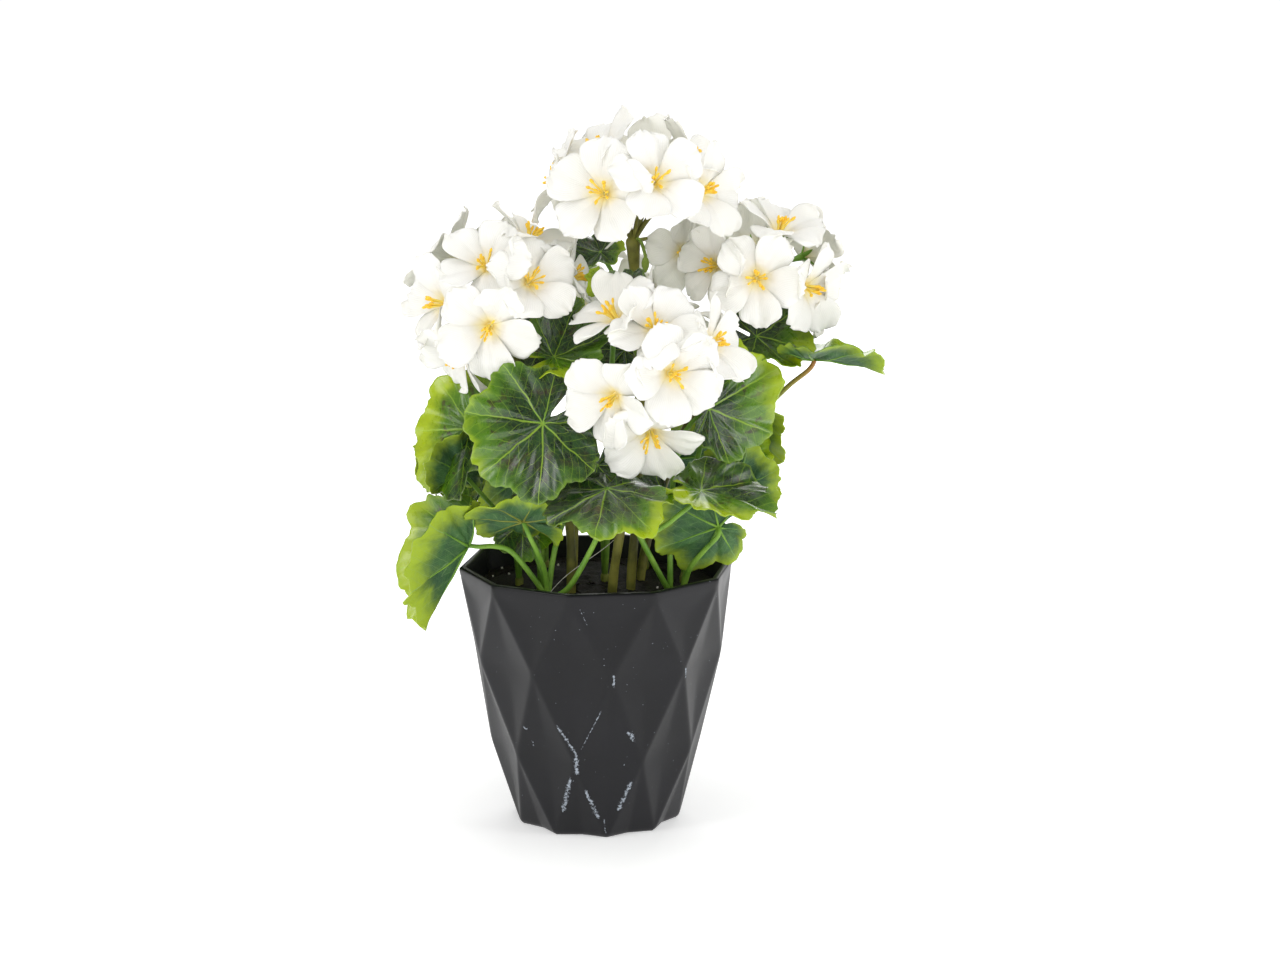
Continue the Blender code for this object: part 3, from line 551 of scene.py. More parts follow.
def add_stamens(gather, place, item, seed):
    dome = [place @ up(height) for height, _ in THROAT_DOME]
    gather.tube(dome, [radius for _, radius in THROAT_DOME], 10, (0.0, 0.0, 0.0))
    for j in range(FILAMENTS):
        turn = 2 * pi * j / FILAMENTS + 0.5 * wobble(seed, j + 50)
        spread = radians(6 + 22 * (0.5 + 0.5 * wobble(seed, j + 60)))
        length = (FILAMENT_LENGTH + 1.9 * wobble(seed, j + 70)) * min(item.scale, 1.0)
        lean = Vector((cos(turn), sin(turn), 0))
        a = lean * 0.7 + up(0.6)
        b = lean * 1.1 + up(0.35 * length)
        d = lean * (sin(spread) * length) + up(cos(spread) * length)
        c = d.lerp(b, 0.45) + up(0.12 * length)
        path = bezier(a, b, c, d, 6)
        last = (path[-1] - path[-2]).normalized()
        last = (last + lean * 0.35 * wobble(seed, j + 80)).normalized()
        path += [path[-1] + last * reach for reach in ANTHER_STEPS]
        tints = [(i / (len(path) - 1), 0.0, 0.0) for i in range(len(path))]
        gather.tube([place @ p for p in path], FILAMENT_RADII, 6, tints, flat=ANTHER_FLATNESS)


def add_calyx(gather, place, item, seed):
    """Five narrow sepals close behind the petals."""
    normal = place.to_3x3() @ up(1)
    for k in range(PETALS):
        points, faces = [], []
        angle = 2 * pi * k / PETALS
        across = Vector((-sin(angle), cos(angle), 0))
        for v, wide in SEPAL_ROWS:
            low = petal_place(k, 0, v, item, seed) - up(1.0 + 2.5 * v)
            for s in (-1, 0, 1):
                points.append(place @ (low + across * (wide * s) + up(0.25 * s * s)))
        count = len(points)
        points += [p - normal * SEPAL_THICKNESS for p in points]
        for i in range(len(SEPAL_ROWS) - 1):
            for j in range(2):
                a = i * 3 + j
                faces.append((a, a + 3, a + 4, a + 1))
                faces.append((a + count, a + 1 + count, a + 4 + count, a + 3 + count))
        for a, b in zip(SEPAL_RIM, SEPAL_RIM[1:] + SEPAL_RIM[:1]):
            faces.append((a, b, b + count, a + count))
        gather.add(points, faces, 0, None, (0.8, 0.0, 0.0))


def make_head(number, name, head):
    """A head of blooms as three pieces: petals, stamens, and the stem with the blooms' stalks."""
    petals, gold, stem = Gather(), Gather(), Gather()
    for i, item in enumerate(head.blooms):
        seed = 10 * (number + 1) + i
        place = bloom_frame(head, item)
        add_petals(petals, place, item, seed)
        add_stamens(gold, place, item, seed)
        add_calyx(stem, place, item, seed)
        line = pedicel_path(head, item)
        path = smooth_path(line[:-1], 4) + [line[-1]]
        radii = [1.25 - 0.35 * smooth(0, 0.3, t / len(path)) for t in range(len(path))]
        radii[-2:] = PEDICEL_END_RADII
        stem.tube(path, radii, 8, [(0.75 * t / len(path), 0.0, 0.0) for t in range(len(path))])
    path = smooth_path(stem_path(head), 5)
    last = (path[-1] - path[-2]).normalized()
    radii = [STEM_RADIUS * (1 + 0.06 * sin(t * 1.3)) for t in range(len(path))]
    path += [path[-1] + last * rise for rise in NODE_RISES]
    radii[-3:] = NODE_RADII
    stem.tube(path, radii, 12, (0.1, 0.0, 0.0))
    for place, radius in head.buds:
        hub, end = Vector(head.hub), Vector(place)
        arch = hub.lerp(end, 0.6) + up(BUD_STALK_RISE)
        line = smooth_path(bezier(hub, hub.lerp(arch, 0.7), arch, end, 6), 2)
        path = line + [end - up(drop) for drop, _ in BUD_PROFILE]
        radii = [BUD_STALK_RADIUS] * len(line) + [wide * radius / BUD_RADIUS for _, wide in BUD_PROFILE]
        stem.tube(path, radii, 10, (0.4, 0.0, 0.0))
    petals.make(f"petals_{name}", [SILK, SILK_BACK_PAINTED_SHADE], "white_silk", [f"flower_head_{name}"], PETAL_CLOTH)
    nodes = [f"stamens_{name}_{i + 1}" for i in range(len(head.blooms))]
    gold.make(f"filaments_{name}", [GOLD], "golden_stamen", nodes)
    stem.make(f"stalks_{name}", [STALK], "olive_stem", [f"flower_stem_{name}"])


# Leaves

def leaf_place(item, angle, share, seed):
    """Point on a leaf, with its toothed, ruffled edge, in the leaf's frame."""
    lobe = (angle + LOBE_ANGLE / 2) % LOBE_ANGLE / LOBE_ANGLE * 2 - 1
    size = 1 - (1 - item.base) * (abs(angle) / 180) ** 1.6
    number, between = divmod(angle / LOBE_ANGLE, 1)
    t = smooth(0, 1, between)
    size += 0.04 * (wobble(seed, number + 9) * (1 - t) + wobble(seed, number + 10) * t)
    edge = item.radius * size * (1 - NOTCH_DEPTH * abs(lobe) ** 2.5)
    tooth = abs(sin(pi * (angle / TOOTH_ANGLE + 0.5)))
    nick = noise.noise(Vector((radians(angle) * 30, seed * 3.1, 0)))
    edge *= 1 + (0.05 * tooth - 0.03 + 0.022 * nick) * share ** 6
    turn = radians(angle)
    p = edge * share * cos(turn)
    q = edge * share * sin(turn)
    height = LEAF_DISH * item.radius * share ** 2
    height -= LEAF_PLEAT * cos(2 * pi * angle / LOBE_ANGLE) * share
    height += item.wave * sin(radians(angle * 3.5) + 3 * wobble(seed, 5)) * share ** 3
    frill = 1.7 * sin(turn * 9 + 5 * wobble(seed, 61)) + 1.0 * sin(turn * 17 + 5 * wobble(seed, 62))
    frill *= 0.7 + 0.5 * noise.noise(Vector((turn * 2, seed * 1.9, 0)))
    height += frill * item.radius / USUAL_RADIUS * share ** 3.5
    ripple = noise.noise(Vector((p * 0.09, q * 0.09, seed * 1.7)))
    height += LEAF_RIPPLE * ripple * smooth(0.1, 0.6, share)
    crease = noise.noise(Vector((turn * 6.5, share * 1.4, seed * 2.3)))
    crease += 0.5 * noise.noise(Vector((turn * 15, share * 2.2, seed * 1.3)))
    height += LEAF_CREASE * crease * smooth(0.05, 0.4, share) * item.radius / USUAL_RADIUS
    fold = radians(item.fold)
    height += (hypot(q, 3) - 3) * sin(fold)
    q *= cos(fold)
    if item.arch:
        bend = radians(item.arch) / item.radius
        low = (1 - cos(bend * p)) / bend
        p, height = sin(bend * p) * (1 / bend + height), height * cos(bend * p) - low
    return Vector((p, q, height))


def add_leaf(gather, item, seed, tone, pale_and_painted_light_side):
    """One blade: rings of points about its joint, and a small web that closes the notch behind it."""
    place = leaf_frame(item)
    # The given side of the picture turns paler: partly the print's yellow-green, partly painted light on a lit
    # fold
    light = radians(pale_and_painted_light_side)
    facing = place.to_3x3().transposed() @ Vector((cos(light), 0.2 * sin(light), sin(light)))
    tint = (tone, 0.5 + 0.5 * wobble(seed, 3), atan2(facing.y, facing.x) / (2 * pi) % 1.0)
    side = LOBE_ANGLE * LOBES / 2
    count = COLUMNS_PER_LOBE * LOBES + 1
    angles = [-side + 2 * side * j / (count - 1) for j in range(count)]
    points = [place @ Vector()]
    uvs = [(0.5, 0.5)]
    for share in LEAF_ROWS:
        for angle in angles:
            points.append(place @ leaf_place(item, angle, share, seed))
            turn = radians(angle)
            uvs.append((0.5 + 0.5 * share * cos(turn), 0.5 + 0.5 * share * sin(turn)))
    faces = []
    for j in range(count - 1):
        faces.append((0, 1 + j, 2 + j))
        for i in range(len(LEAF_ROWS) - 1):
            a = 1 + i * count + j
            faces.append((a, a + count, a + count + 1, a + 1))
    back = len(points)
    points.append(place @ Vector((-item.radius * SINUS_REACH, 0, 0.3)))
    uvs.append((0.5 - 0.5 * SINUS_REACH, 0.5))
    faces += [(0, back, 1), (0, count, back)]
    for i in range(NOTCH_ROWS - 1):
        first, last = 1 + i * count, count + i * count
        faces += [(back, first + count, first), (back, last, last + count)]
    gather.add(points, faces, 0, uvs, tint)


def add_ribs(gather, item, seed, rust):
    """Raised ribs under a leaf: one along each lobe."""
    place = leaf_frame(item)
    for j in range(LOBES):
        angle = LOBE_ANGLE * (j - (LOBES - 1) / 2)
        radii = [RIB_RADIUS * (1 - 0.72 * share / RIB_SHARES[-1]) * item.radius / RIB_LEAF_RADIUS
                 for share in RIB_SHARES]
        path = [place @ (leaf_place(item, angle, share, seed) - up(LEAF_CLOTH / 2 + r * 0.25))
                for share, r in zip(RIB_SHARES, radii)]
        gather.tube(path, radii, 6, (0.72, rust, 0.0))


def make_leaves(number, name, base, leaves):
    """A spray of leaves as two pieces: blades, and petioles with the ribs and the stub in the soil."""
    blades, stalks = Gather(), Gather()
    for index, item in enumerate(leaves):
        seed = 100 + 10 * number + index
        add_leaf(blades, item, seed, *TONES[name][index])
        add_ribs(stalks, item, seed, 0.3 if (name, index) == RUSTY_RIBS else 0.0)
        path = smooth_path(petiole_path(item, base), 4)
        rust = 0.85 if (name, index) == RUSTY_PETIOLE else 0.0
        shares = [t / len(path) for t in range(len(path))]
        radii = [PETIOLE_RADIUS * (1.12 - 0.32 * t) for t in shares]
        stalks.tube(path, radii, 8, [(0.5 + 0.4 * t, rust * smooth(0.2, 0.8, t), 0.0) for t in shares])
    knot = [Vector((*base, SOIL_TOP + rise)) for rise in (-LEAF_HOLE_DEPTH, -1, 2, 4)]
    stalks.tube(knot, [STUB_RADIUS, STUB_RADIUS, STUB_RADIUS, STUB_RADIUS * 0.6], 10, (0.3, 0.0, 0.0))
    node = f"leaf_spray_{name}"
    blades.make(f"blades_{name}", [LEAF, LEAF_BACK], "leaf_green", [node], LEAF_CLOTH)
    stalks.make(f"petioles_{name}", [STALK], "leaf_green", [node])


# Soil

def wall_share(azimuth):
    """How far a ten-sided ring reaches at an azimuth, as a share of its corner radius."""
    part = (azimuth - RIM_PHASE) % STEP - STEP / 2
    return cos(radians(STEP / 2)) / cos(radians(part))


def earth_height(x, y):
    rough = sum(noise.noise(Vector((x * pitch, y * pitch, layer))) * size for pitch, layer, size in EARTH_LUMPS)
    return SOIL_TOP - 0.6 + rough


def add_grain(gather, centre, size, seed, slot):
    """A small irregular lump with twelve faces."""
    corners = ((0, 0, 1), (0.9, 0, 0.35), (-0.3, 0.85, 0.4), (-0.5, -0.8, 0.3),
               (0.35, 0.8, -0.4), (-0.9, 0.1, -0.3), (0.4, -0.75, -0.45), (0, 0, -1))
    turn = Matrix.Rotation(3 * wobble(seed, 9), 3, "Z") @ Matrix.Rotation(wobble(seed, 8), 3, "X")
    points = []
    for n, p in enumerate(corners):
        factor = size * (1 + 0.35 * wobble(seed, n + 10))
        points.append(centre + turn @ Vector(p) * factor)
    faces = [(0, 1, 2), (0, 2, 3), (0, 3, 1), (1, 4, 2), (2, 5, 3), (3, 6, 1), (1, 6, 4), (2, 4, 5), (3, 5, 6),
             (7, 5, 4), (7, 6, 5), (7, 4, 6)]
    gather.add(points, faces, slot, None, (0.0, 0.5 + 0.5 * wobble(seed, 7), 0.0))


def make_soil():
    """Rough earth up to the pot's wall, with loose grains, pale specks and a thread of glue."""
    earth = Gather()
    points = [up(earth_height(0, 0))]
    for i in range(1, EARTH_RINGS + 1):
        for j in range(EARTH_COLUMNS):
            turn = 360 * j / EARTH_COLUMNS
            reach = (cavity_radius(SOIL_TOP) - 0.4) * wall_share(turn) * i / EARTH_RINGS
            flat = direction(turn, 0) * reach
            points.append(Vector((flat.x, flat.y, earth_height(flat.x, flat.y))))
    points += [Vector((p.x * 0.97, p.y * 0.97, SOIL_TOP - EARTH_DEPTH)) for p in points[-EARTH_COLUMNS:]]
    points.append(up(SOIL_TOP - EARTH_DEPTH))
    around = [(j, (j + 1) % EARTH_COLUMNS) for j in range(EARTH_COLUMNS)]
    faces = [(1 + j, 1 + k, 0) for j, k in around]
    for i in range(EARTH_RINGS):
        low = 1 + i * EARTH_COLUMNS
        high = low + EARTH_COLUMNS
        faces += [(low + j, high + j, high + k, low + k) for j, k in around]
    faces += [(high + j, len(points) - 1, high + k) for j, k in around]
    earth.add(points, faces)
    for index in range(1, GRAINS + 1):
        flat = direction(180 + 180 * wobble(index, 1), 0) * (GRAIN_REACH * sqrt(0.5 + 0.5 * wobble(index, 2)))
        size = 0.45 + 0.65 * (0.5 + 0.5 * wobble(index, 3)) ** 2
        pale = wobble(index, 4) > PALE_GRAIN_ABOVE
        if pale:
            size *= 0.8
        centre = Vector((flat.x, flat.y, earth_height(flat.x, flat.y) + size * 0.35))
        add_grain(earth, centre, size, index, int(pale))
    for index, (x, y) in enumerate(PALE_SPECKS):
        add_grain(earth, Vector((x, y, earth_height(x, y) + 0.5)), PALE_SPECK_SIZE, 5000 + index, 1)
    thread = bezier(*[Vector(p) for p in GLUE_THREAD], 16)
    earth.tube(thread, [GLUE_RADIUS] * len(thread), 6, (0.0, 0.0, 0.0), slot=1)
    earth.make("soil_surface", [SOIL, SPECK], "dark_soil", ["soil"])


# Pot

def make_pot():
    """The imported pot's form in small triangles, its scoops rounded and its creases softened."""
    half = RIM_PHASE + STEP / 2
    lip = ring(POT_HEIGHT - LIP_DEPTH, RIM_RADIUS - 0.1, RIM_PHASE)
    upper = ring(*UPPER_RING, half)
    lower = ring(*LOWER_RING, RIM_PHASE)
    foot = ring(0, FOOT_RADIUS, half)
    folds = ring(0, FOOT_FOLD_RADIUS, RIM_PHASE)
    points, faces, soft, known, facets = [], [], [], {}, []
    nudges = [(0, 0, 0), *product((-MERGE_NUDGE, MERGE_NUDGE), repeat=3)]

    def index(place, softness):
        """Number of the point at a place, which neighbouring facets share."""
        keys = [tuple(round(a + b, 2) for a, b in zip(place, nudge)) for nudge in nudges]
        for key in keys:
            if key in known:
                return known[key]
        known[keys[0]] = len(points)
        points.append(place)
        soft.append(softness)
        return len(points) - 1

    def scoop(corners, depth):
        """Split a facet into triangles about its middle, which is pushed inwards."""
        centre = sum(corners, Vector()) / len(corners)
        inward = -Vector((centre.x, centre.y, 0)).normalized()
        for a, b in zip(corners, corners[1:] + corners[:1]):
            facets.append((a, b, centre, depth, inward))

    def evenly(a, b):
        return [a + (b - a) * (i / POT_CUTS) for i in range(POT_CUTS)]

    def join(first, second):
        for i in range(len(first)):
            n = (i + 1) % len(first)
            faces.append((first[i], first[n], second[n], second[i]))

    for k in range(SIDES):
        n = (k + 1) % SIDES
        before = (k - 1) % SIDES
        scoop((lip[k], upper[k], lip[n]), SCOOP_DEPTH)
        scoop((lip[k], upper[before], lower[k], upper[k]), DIAMOND_DEPTH)
        scoop((upper[k], lower[k], foot[k], lower[n]), DIAMOND_DEPTH)
        facets.append((foot[before], folds[k], lower[k], 0, Vector()))
        facets.append((folds[k], foot[k], lower[k], 0, Vector()))
    for a, b, c, depth, inward in facets:
        rows = []
        for j in range(POT_CUTS + 1):
            share = j / POT_CUTS
            sunk = inward * (depth * share * (1.5 - 0.5 * share * share))
            rows.append([index(a + (b - a) * (i / POT_CUTS) + (c - a) * share + sunk, 1.0)
                         for i in range(POT_CUTS + 1 - j)])
        for low, high in zip(rows, rows[1:]):
            for i in range(len(high)):
                faces.append((low[i], low[i + 1], high[i]))
                if i + 1 < len(high):
                    faces.append((low[i + 1], high[i + 1], high[i]))

    levels = [(POT_HEIGHT - drop, RIM_RADIUS - less) for drop, less in OUTER_LIP]
    levels += [(POT_HEIGHT - drop, CAVITY[0][1] + more) for drop, more in INNER_LIP]
    levels += [(height, cavity_radius(height)) for height in INNER_HEIGHTS]
    rows = []
    for height, radius in levels:
        corners = ring(height, radius, RIM_PHASE)
        rows.append([index(p, 0.0) for a, b in zip(corners, corners[1:] + corners[:1]) for p in evenly(a, b)])
    for first, second in zip(rows, rows[1:]):
        join(first, second)
    faces.append(tuple(rows[-1]))
    edge = []
    for k in range(SIDES):
        edge += evenly(folds[k], foot[k]) + evenly(foot[k], folds[(k + 1) % SIDES])
    outer = [index(p, 1.0) for p in edge]
    inset = [index(p * BASE_INSET, 0.0) for p in edge]
    join(inset, outer)
    faces.append(tuple(reversed(inset)))
    gather = Gather()
    gather.add(points, faces)
    made = gather.make("pot_wall", [POT], "satin_black", ["pot"])
    group = made.vertex_groups.new(name="soft")
    group.add([i for i, weight in enumerate(soft) if weight], 1.0, "REPLACE")
    ease = made.modifiers.new("ease", "SMOOTH")
    ease.factor = 0.5
    ease.iterations = 8
    ease.vertex_group = "soft"


# Materials

def srgb(code):
    """Linear colour from a six-digit code."""
    values = [int(code[i:i + 2], 16) / 255 for i in (0, 2, 4)]
    return (*[v / 12.92 if v <= 0.04045 else ((v + 0.055) / 1.055) ** 2.4 for v in values], 1.0)


class Value:
    """Output of a node; arithmetic on it adds math nodes to its tree."""

    def __init__(self, nodes, socket):
        self.nodes = nodes
        self.socket = socket

    def __add__(self, other):
        return self.nodes.math("ADD", self, other)

    def __sub__(self, other):
        return self.nodes.math("SUBTRACT", self, other)

    def __mul__(self, other):
        return self.nodes.math("MULTIPLY", self, other)

    def __truediv__(self, other):
        return self.nodes.math("DIVIDE", self, other)

    def __abs__(self):
        return self.nodes.math("ABSOLUTE", self)


class Nodes:
    """Short calls for the nodes of a tree."""

    def __init__(self, tree):
        self.tree = tree

    def feed(self, node, inputs):
        """Set or link a node's inputs, in order or by name or number, with colours as codes."""
        for key, value in inputs.items() if isinstance(inputs, dict) else enumerate(inputs):
            if isinstance(value, Value):
                self.tree.links.new(value.socket, node.inputs[key])
            else:
                node.inputs[key].default_value = srgb(value) if isinstance(value, str) else value

    def put(self, kind, inputs=(), output=0, **options):
        """Add a node and give one of its outputs, or all of them for None."""
        node = self.tree.nodes.new("ShaderNode" + kind)
        for name, value in options.items():
            setattr(node, name, value)
        self.feed(node, inputs)
        if output is None:
            return [Value(self, socket) for socket in node.outputs]
        return Value(self, node.outputs[output])

    def math(self, operation, *values):
        return self.put("Math", values, operation=operation)

    def vector(self, operation, *values, output=0):
        return self.put("VectorMath", values, output, operation=operation)

    def step(self, value, low, high, first=0.0, last=1.0):
        """Smooth ramp from first to last as the value goes from low to high."""
        return self.put("MapRange", (value, low, high, first, last), interpolation_type="SMOOTHSTEP")

    def layers(self, colour, *coats):
        """Lay colours over a first one, each with its own share."""
        for share, coat in coats:
            colour = self.put("Mix", {0: share, 6: colour, 7: coat}, 2, data_type="RGBA")
        return colour

    def place(self, kind="Object"):
        return self.put("TexCoord", output=kind)

    def tint(self):
        return self.put("SeparateColor", [self.put("VertexColor", layer_name="tint")], None)

    def noise(self, vector, scale, detail=3.0, rough=0.5, output=0):
        inputs = {"Vector": vector, "Scale": scale, "Detail": detail, "Roughness": rough}
        return self.put("TexNoise", inputs, output)

    def weave(self, vector, scale):
        """Height of a plain weave: two sets of fine threads."""
        warp, weft = [self.put("TexWave", {"Vector": vector, "Scale": scale}, 1, bands_direction=axis)
                      for axis in ("X", "Y")]
        return warp * weft

    def bump(self, height, distance, strength, normal=None):
        inputs = {"Height": height, "Distance": distance, "Strength": strength}
        if normal:
            inputs["Normal"] = normal
        return self.put("Bump", inputs)


class Paint(Nodes):
    """A material and its shader."""

    def __init__(self, name, roughness, specular, **others):
        self.material = bpy.data.materials.new(name)
        self.material.use_nodes = True
        super().__init__(self.material.node_tree)
        self.shader = self.tree.nodes["Principled BSDF"]
        self.fill(Roughness=roughness, Specular_IOR_Level=specular, **others)

    def fill(self, **inputs):
        """Set or link inputs of the shader, named with _ for each space."""
        self.feed(self.shader, {name.replace("_", " "): value for name, value in inputs.items()})

    def finish(self, colour, normal, **others):
        self.fill(Base_Color=colour, Normal=normal, **others)
        return self.material


def silk(name, painted_shade):
    """White cloth petals: cream towards the throat, faint lengthwise veins and a fine weave, and a share of
    painted cream shade over all, which the petals' backs get.
    """
    paint = Paint(name, 0.72, 0.25, Sheen_Weight=0.15, Sheen_Roughness=0.5, Subsurface_Weight=0.12,
                  Subsurface_Radius=(1.0, 0.95, 0.8), Subsurface_Scale=0.0015)
    place = paint.place()
    outwards = paint.tint()[0]
    u, v, _ = paint.put("SeparateXYZ", [paint.place("UV")], None)
    fan = (u - 0.5) / (v * 0.55 + 0.5)
    lines = fan * 62.0 + paint.noise(place, 160.0, 2.0) * 3.2
    veins = paint.math("POWER", abs(paint.math("SINE", lines)), 6.0)
    veins = veins * (paint.step(v, 0.05, 0.3) * paint.step(v, 1.0, 0.6))
    # The last layer is painted shade: a cream tone standing for petals seen in shade, given to the backs
    colour = paint.layers(
        "F4F3EC", (paint.step(paint.noise(place, 60.0), 0.35, 0.7), "F9F8F3"), (veins * 0.22, "D9D8CE"),
        (paint.step(outwards, 0.36, 0.06), "F8F0C4"), (paint.step(outwards, 0.15, 0.0), "F5D869"),
        (painted_shade, "EDEADA"))
    bumped = paint.bump(veins * 0.7 + paint.weave(place, 900.0) * 0.25, 0.0003, 0.45)
    bumped = paint.bump(paint.noise(place, 420.0, 4.0), 0.0004, 0.35, bumped)
    return paint.finish(colour, bumped)


def leaf_veins(paint, x, y, reach, spot):
    """Main veins along the lobes, side veins off them like a comb, and a fine net between."""
    lobe = paint.math("ARCTAN2", y, x) / radians(LOBE_ANGLE)
    off = (lobe - paint.math("ROUND", lobe)) * radians(LOBE_ANGLE)
    beside = abs(paint.math("SINE", off)) * reach
    ahead = paint.math("COSINE", off) * reach
    main = paint.step(beside / (reach * -0.009 + 0.014), 1.5, 0.5)
    comb = (ahead - beside * 1.15) / 0.15
    comb = abs(paint.math("FRACT", comb) - 0.5)
    side = paint.step(comb, 0.05, 0.015) * paint.step(reach, 0.14, 0.3)
    cells = paint.put("TexVoronoi", {"Vector": spot, "Scale": 13.0}, feature="DISTANCE_TO_EDGE")
    net = paint.step(cells, 0.06, 0.01)
    return main, side, net


def leaf_cloth(name, back):
    """Printed cloth leaf with pale veins: dark, blotched and yellow-green above, duller under it; the upper
    face is also paler towards one side of the picture, partly the print and partly painted light.
    """
    if back:
        paint = Paint(name, 0.3, 0.3)
    else:
        paint = Paint(name, 0.3, 0.55, Coat_Weight=0.4, Coat_Roughness=0.24)
    tone, own, pale_and_painted_light_turn = paint.tint()
    uv = paint.place("UV")
    flat = paint.vector("MULTIPLY_ADD", uv, (2, 2, 0), (-1, -1, 0))
    spot = paint.vector("ADD", flat, paint.put("CombineXYZ", {"Z": own * 37.0}))
    drift = paint.noise(spot, 3.2, output=1)
    centred = paint.vector("ADD", flat, (-0.045, -0.045, 0))
    drifted = paint.vector("MULTIPLY_ADD", drift, (0.09, 0.09, 0), centred)
    x, y, _ = paint.put("SeparateXYZ", [drifted], None)
    reach = paint.math("SQRT", x * x + y * y)
    main, side, net = leaf_veins(paint, x, y, reach, spot)
    veins = paint.math("MAXIMUM", paint.math("MAXIMUM", main, side * 0.55), net * 0.2)
    blotch = paint.noise(spot, 2.6, 4.0, 0.6)
    fine = paint.noise(spot, 9.0, 4.0, 0.6)
    threads = paint.weave(uv, 36.0)
    if back:
        rim = paint.step(reach + fine * 0.3 + tone * 0.25, 0.85, 1.3)
        colour = paint.layers(
            "2C4E34", (paint.step(blotch, 0.3, 0.7), "426A38"), (rim, "9CB428"), (veins * 0.5, "86A868"))
        height = threads * 0.3 + main * 1.2 + side * 0.5 + net * 0.4
        rough = paint.step(fine, 0.3, 0.7, 0.5, 0.62)
    else:
        level = reach + (blotch - 0.5) * 0.9 + (fine - 0.5) * 0.35
        # Paler towards the given side of the picture: partly the print's yellow-green, partly painted light
        light = pale_and_painted_light_turn * (2 * pi)
        toward_pale_and_painted_light = x * paint.math("COSINE", light) + y * paint.math("SINE", light)
        broad = paint.noise(spot, 1.1, 2.0)
        toned = level * 0.5 + tone * 0.75 + ((broad - 0.5) * 1.2 + toward_pale_and_painted_light * 0.55)
        ring_share = paint.step(level, 0.4, 0.54) * paint.step(level, 0.86, 0.7)
        rust = paint.step(paint.noise(spot, 4.5, 5.0, 0.65), 0.53, 0.62, 0.0, 0.85)
        rim = paint.step(reach + fine * 0.22, 1.04, 1.12, 0.0, 0.3)
        colour = paint.layers(
            "0E240F", (paint.step(fine, 0.3, 0.7), "1E4614"), (paint.step(toned, 0.42, 0.85), "4A7606"),
            (ring_share * rust, "2C1A12"), (paint.step(toned, 0.82, 1.2), "A6BC06"), (rim, "8DB010"),
            (veins * 0.62, "9CC030"))
        height = threads * 0.3 + main * -1.3 + side * -0.3 + net * -0.15
        rough = paint.step(fine, 0.3, 0.7, 0.26, 0.36)
    colour = paint.layers(colour, (paint.step(threads, 0.5, 0.9) * 0.09, "C2D28C"))
    return paint.finish(colour, paint.bump(height, 0.0003, 0.16), Roughness=rough)


def stalk_plastic():
    """Olive stems that turn bright green, or rusty, as the tint says."""
    paint = Paint("stalk", 0.5, 0.4)
    greenness, rust, _ = paint.tint()
    place = paint.place()
    patch = paint.noise(place, 90.0, 4.0)
    fine = paint.noise(place, 700.0)
    olive = paint.layers("5A5A22", (paint.step(patch, 0.35, 0.65), "7E7C34"))
    green = paint.layers("5C8A2A", (paint.step(patch, 0.3, 0.7), "7FA83C"))
    colour = paint.layers(olive, (paint.step(greenness, 0.2, 0.6), green), (rust, "A8643A"),
                          (paint.step(fine, 0.62, 0.72, 0.0, 0.35), "3A3A16"))
    return paint.finish(colour, paint.bump(fine, 0.0002, 0.3), Roughness=paint.step(patch, 0.3, 0.7, 0.42, 0.6))


def gold_plastic():
    """Pale yellow filaments that deepen to gold at their anthers."""
    paint = Paint("gold", 0.5, 0.35, Subsurface_Weight=0.15, Subsurface_Radius=(1.0, 0.6, 0.2),
                  Subsurface_Scale=0.0006)
    outwards = paint.tint()[0]
    fine = paint.noise(paint.place(), 900.0)
    colour = paint.layers(
        "FFF6C4", (paint.step(outwards, 0.0, 0.3), "FFE26A"), (paint.step(outwards, 0.62, 0.8), "FFD244"),
        (paint.step(fine, 0.55, 0.75, 0.0, 0.2), "F6B828"))
    return paint.finish(colour, paint.bump(fine, 0.0002, 0.3))


def soil_grain():
    """Dark crumbly earth, each grain a little lighter or darker."""
    paint = Paint("earth", 0.85, 0.3)
    place = paint.place()
    fine = paint.noise(place, 900.0, 5.0, 0.7)
    colour = paint.layers(
        "0E0C0B", (paint.step(paint.noise(place, 220.0), 0.3, 0.7), "221C18"),
        (paint.step(fine, 0.6, 0.75, 0.0, 0.5), "3B322B"), (paint.tint()[1] * 0.3, "2C241E"))
    return paint.finish(colour, paint.bump(fine, 0.0006, 0.8), Roughness=paint.step(fine, 0.3, 0.7, 0.7, 0.95))


def pale_speck():
    """Pale grit, and the dried thread of glue."""
    paint = Paint("speck", 0.7, 0.4)
    fine = paint.noise(paint.place(), 1200.0)
    return paint.finish(paint.layers("BDB9AE", (fine, "E8E5DC")), paint.bump(fine, 0.0003, 0.5))


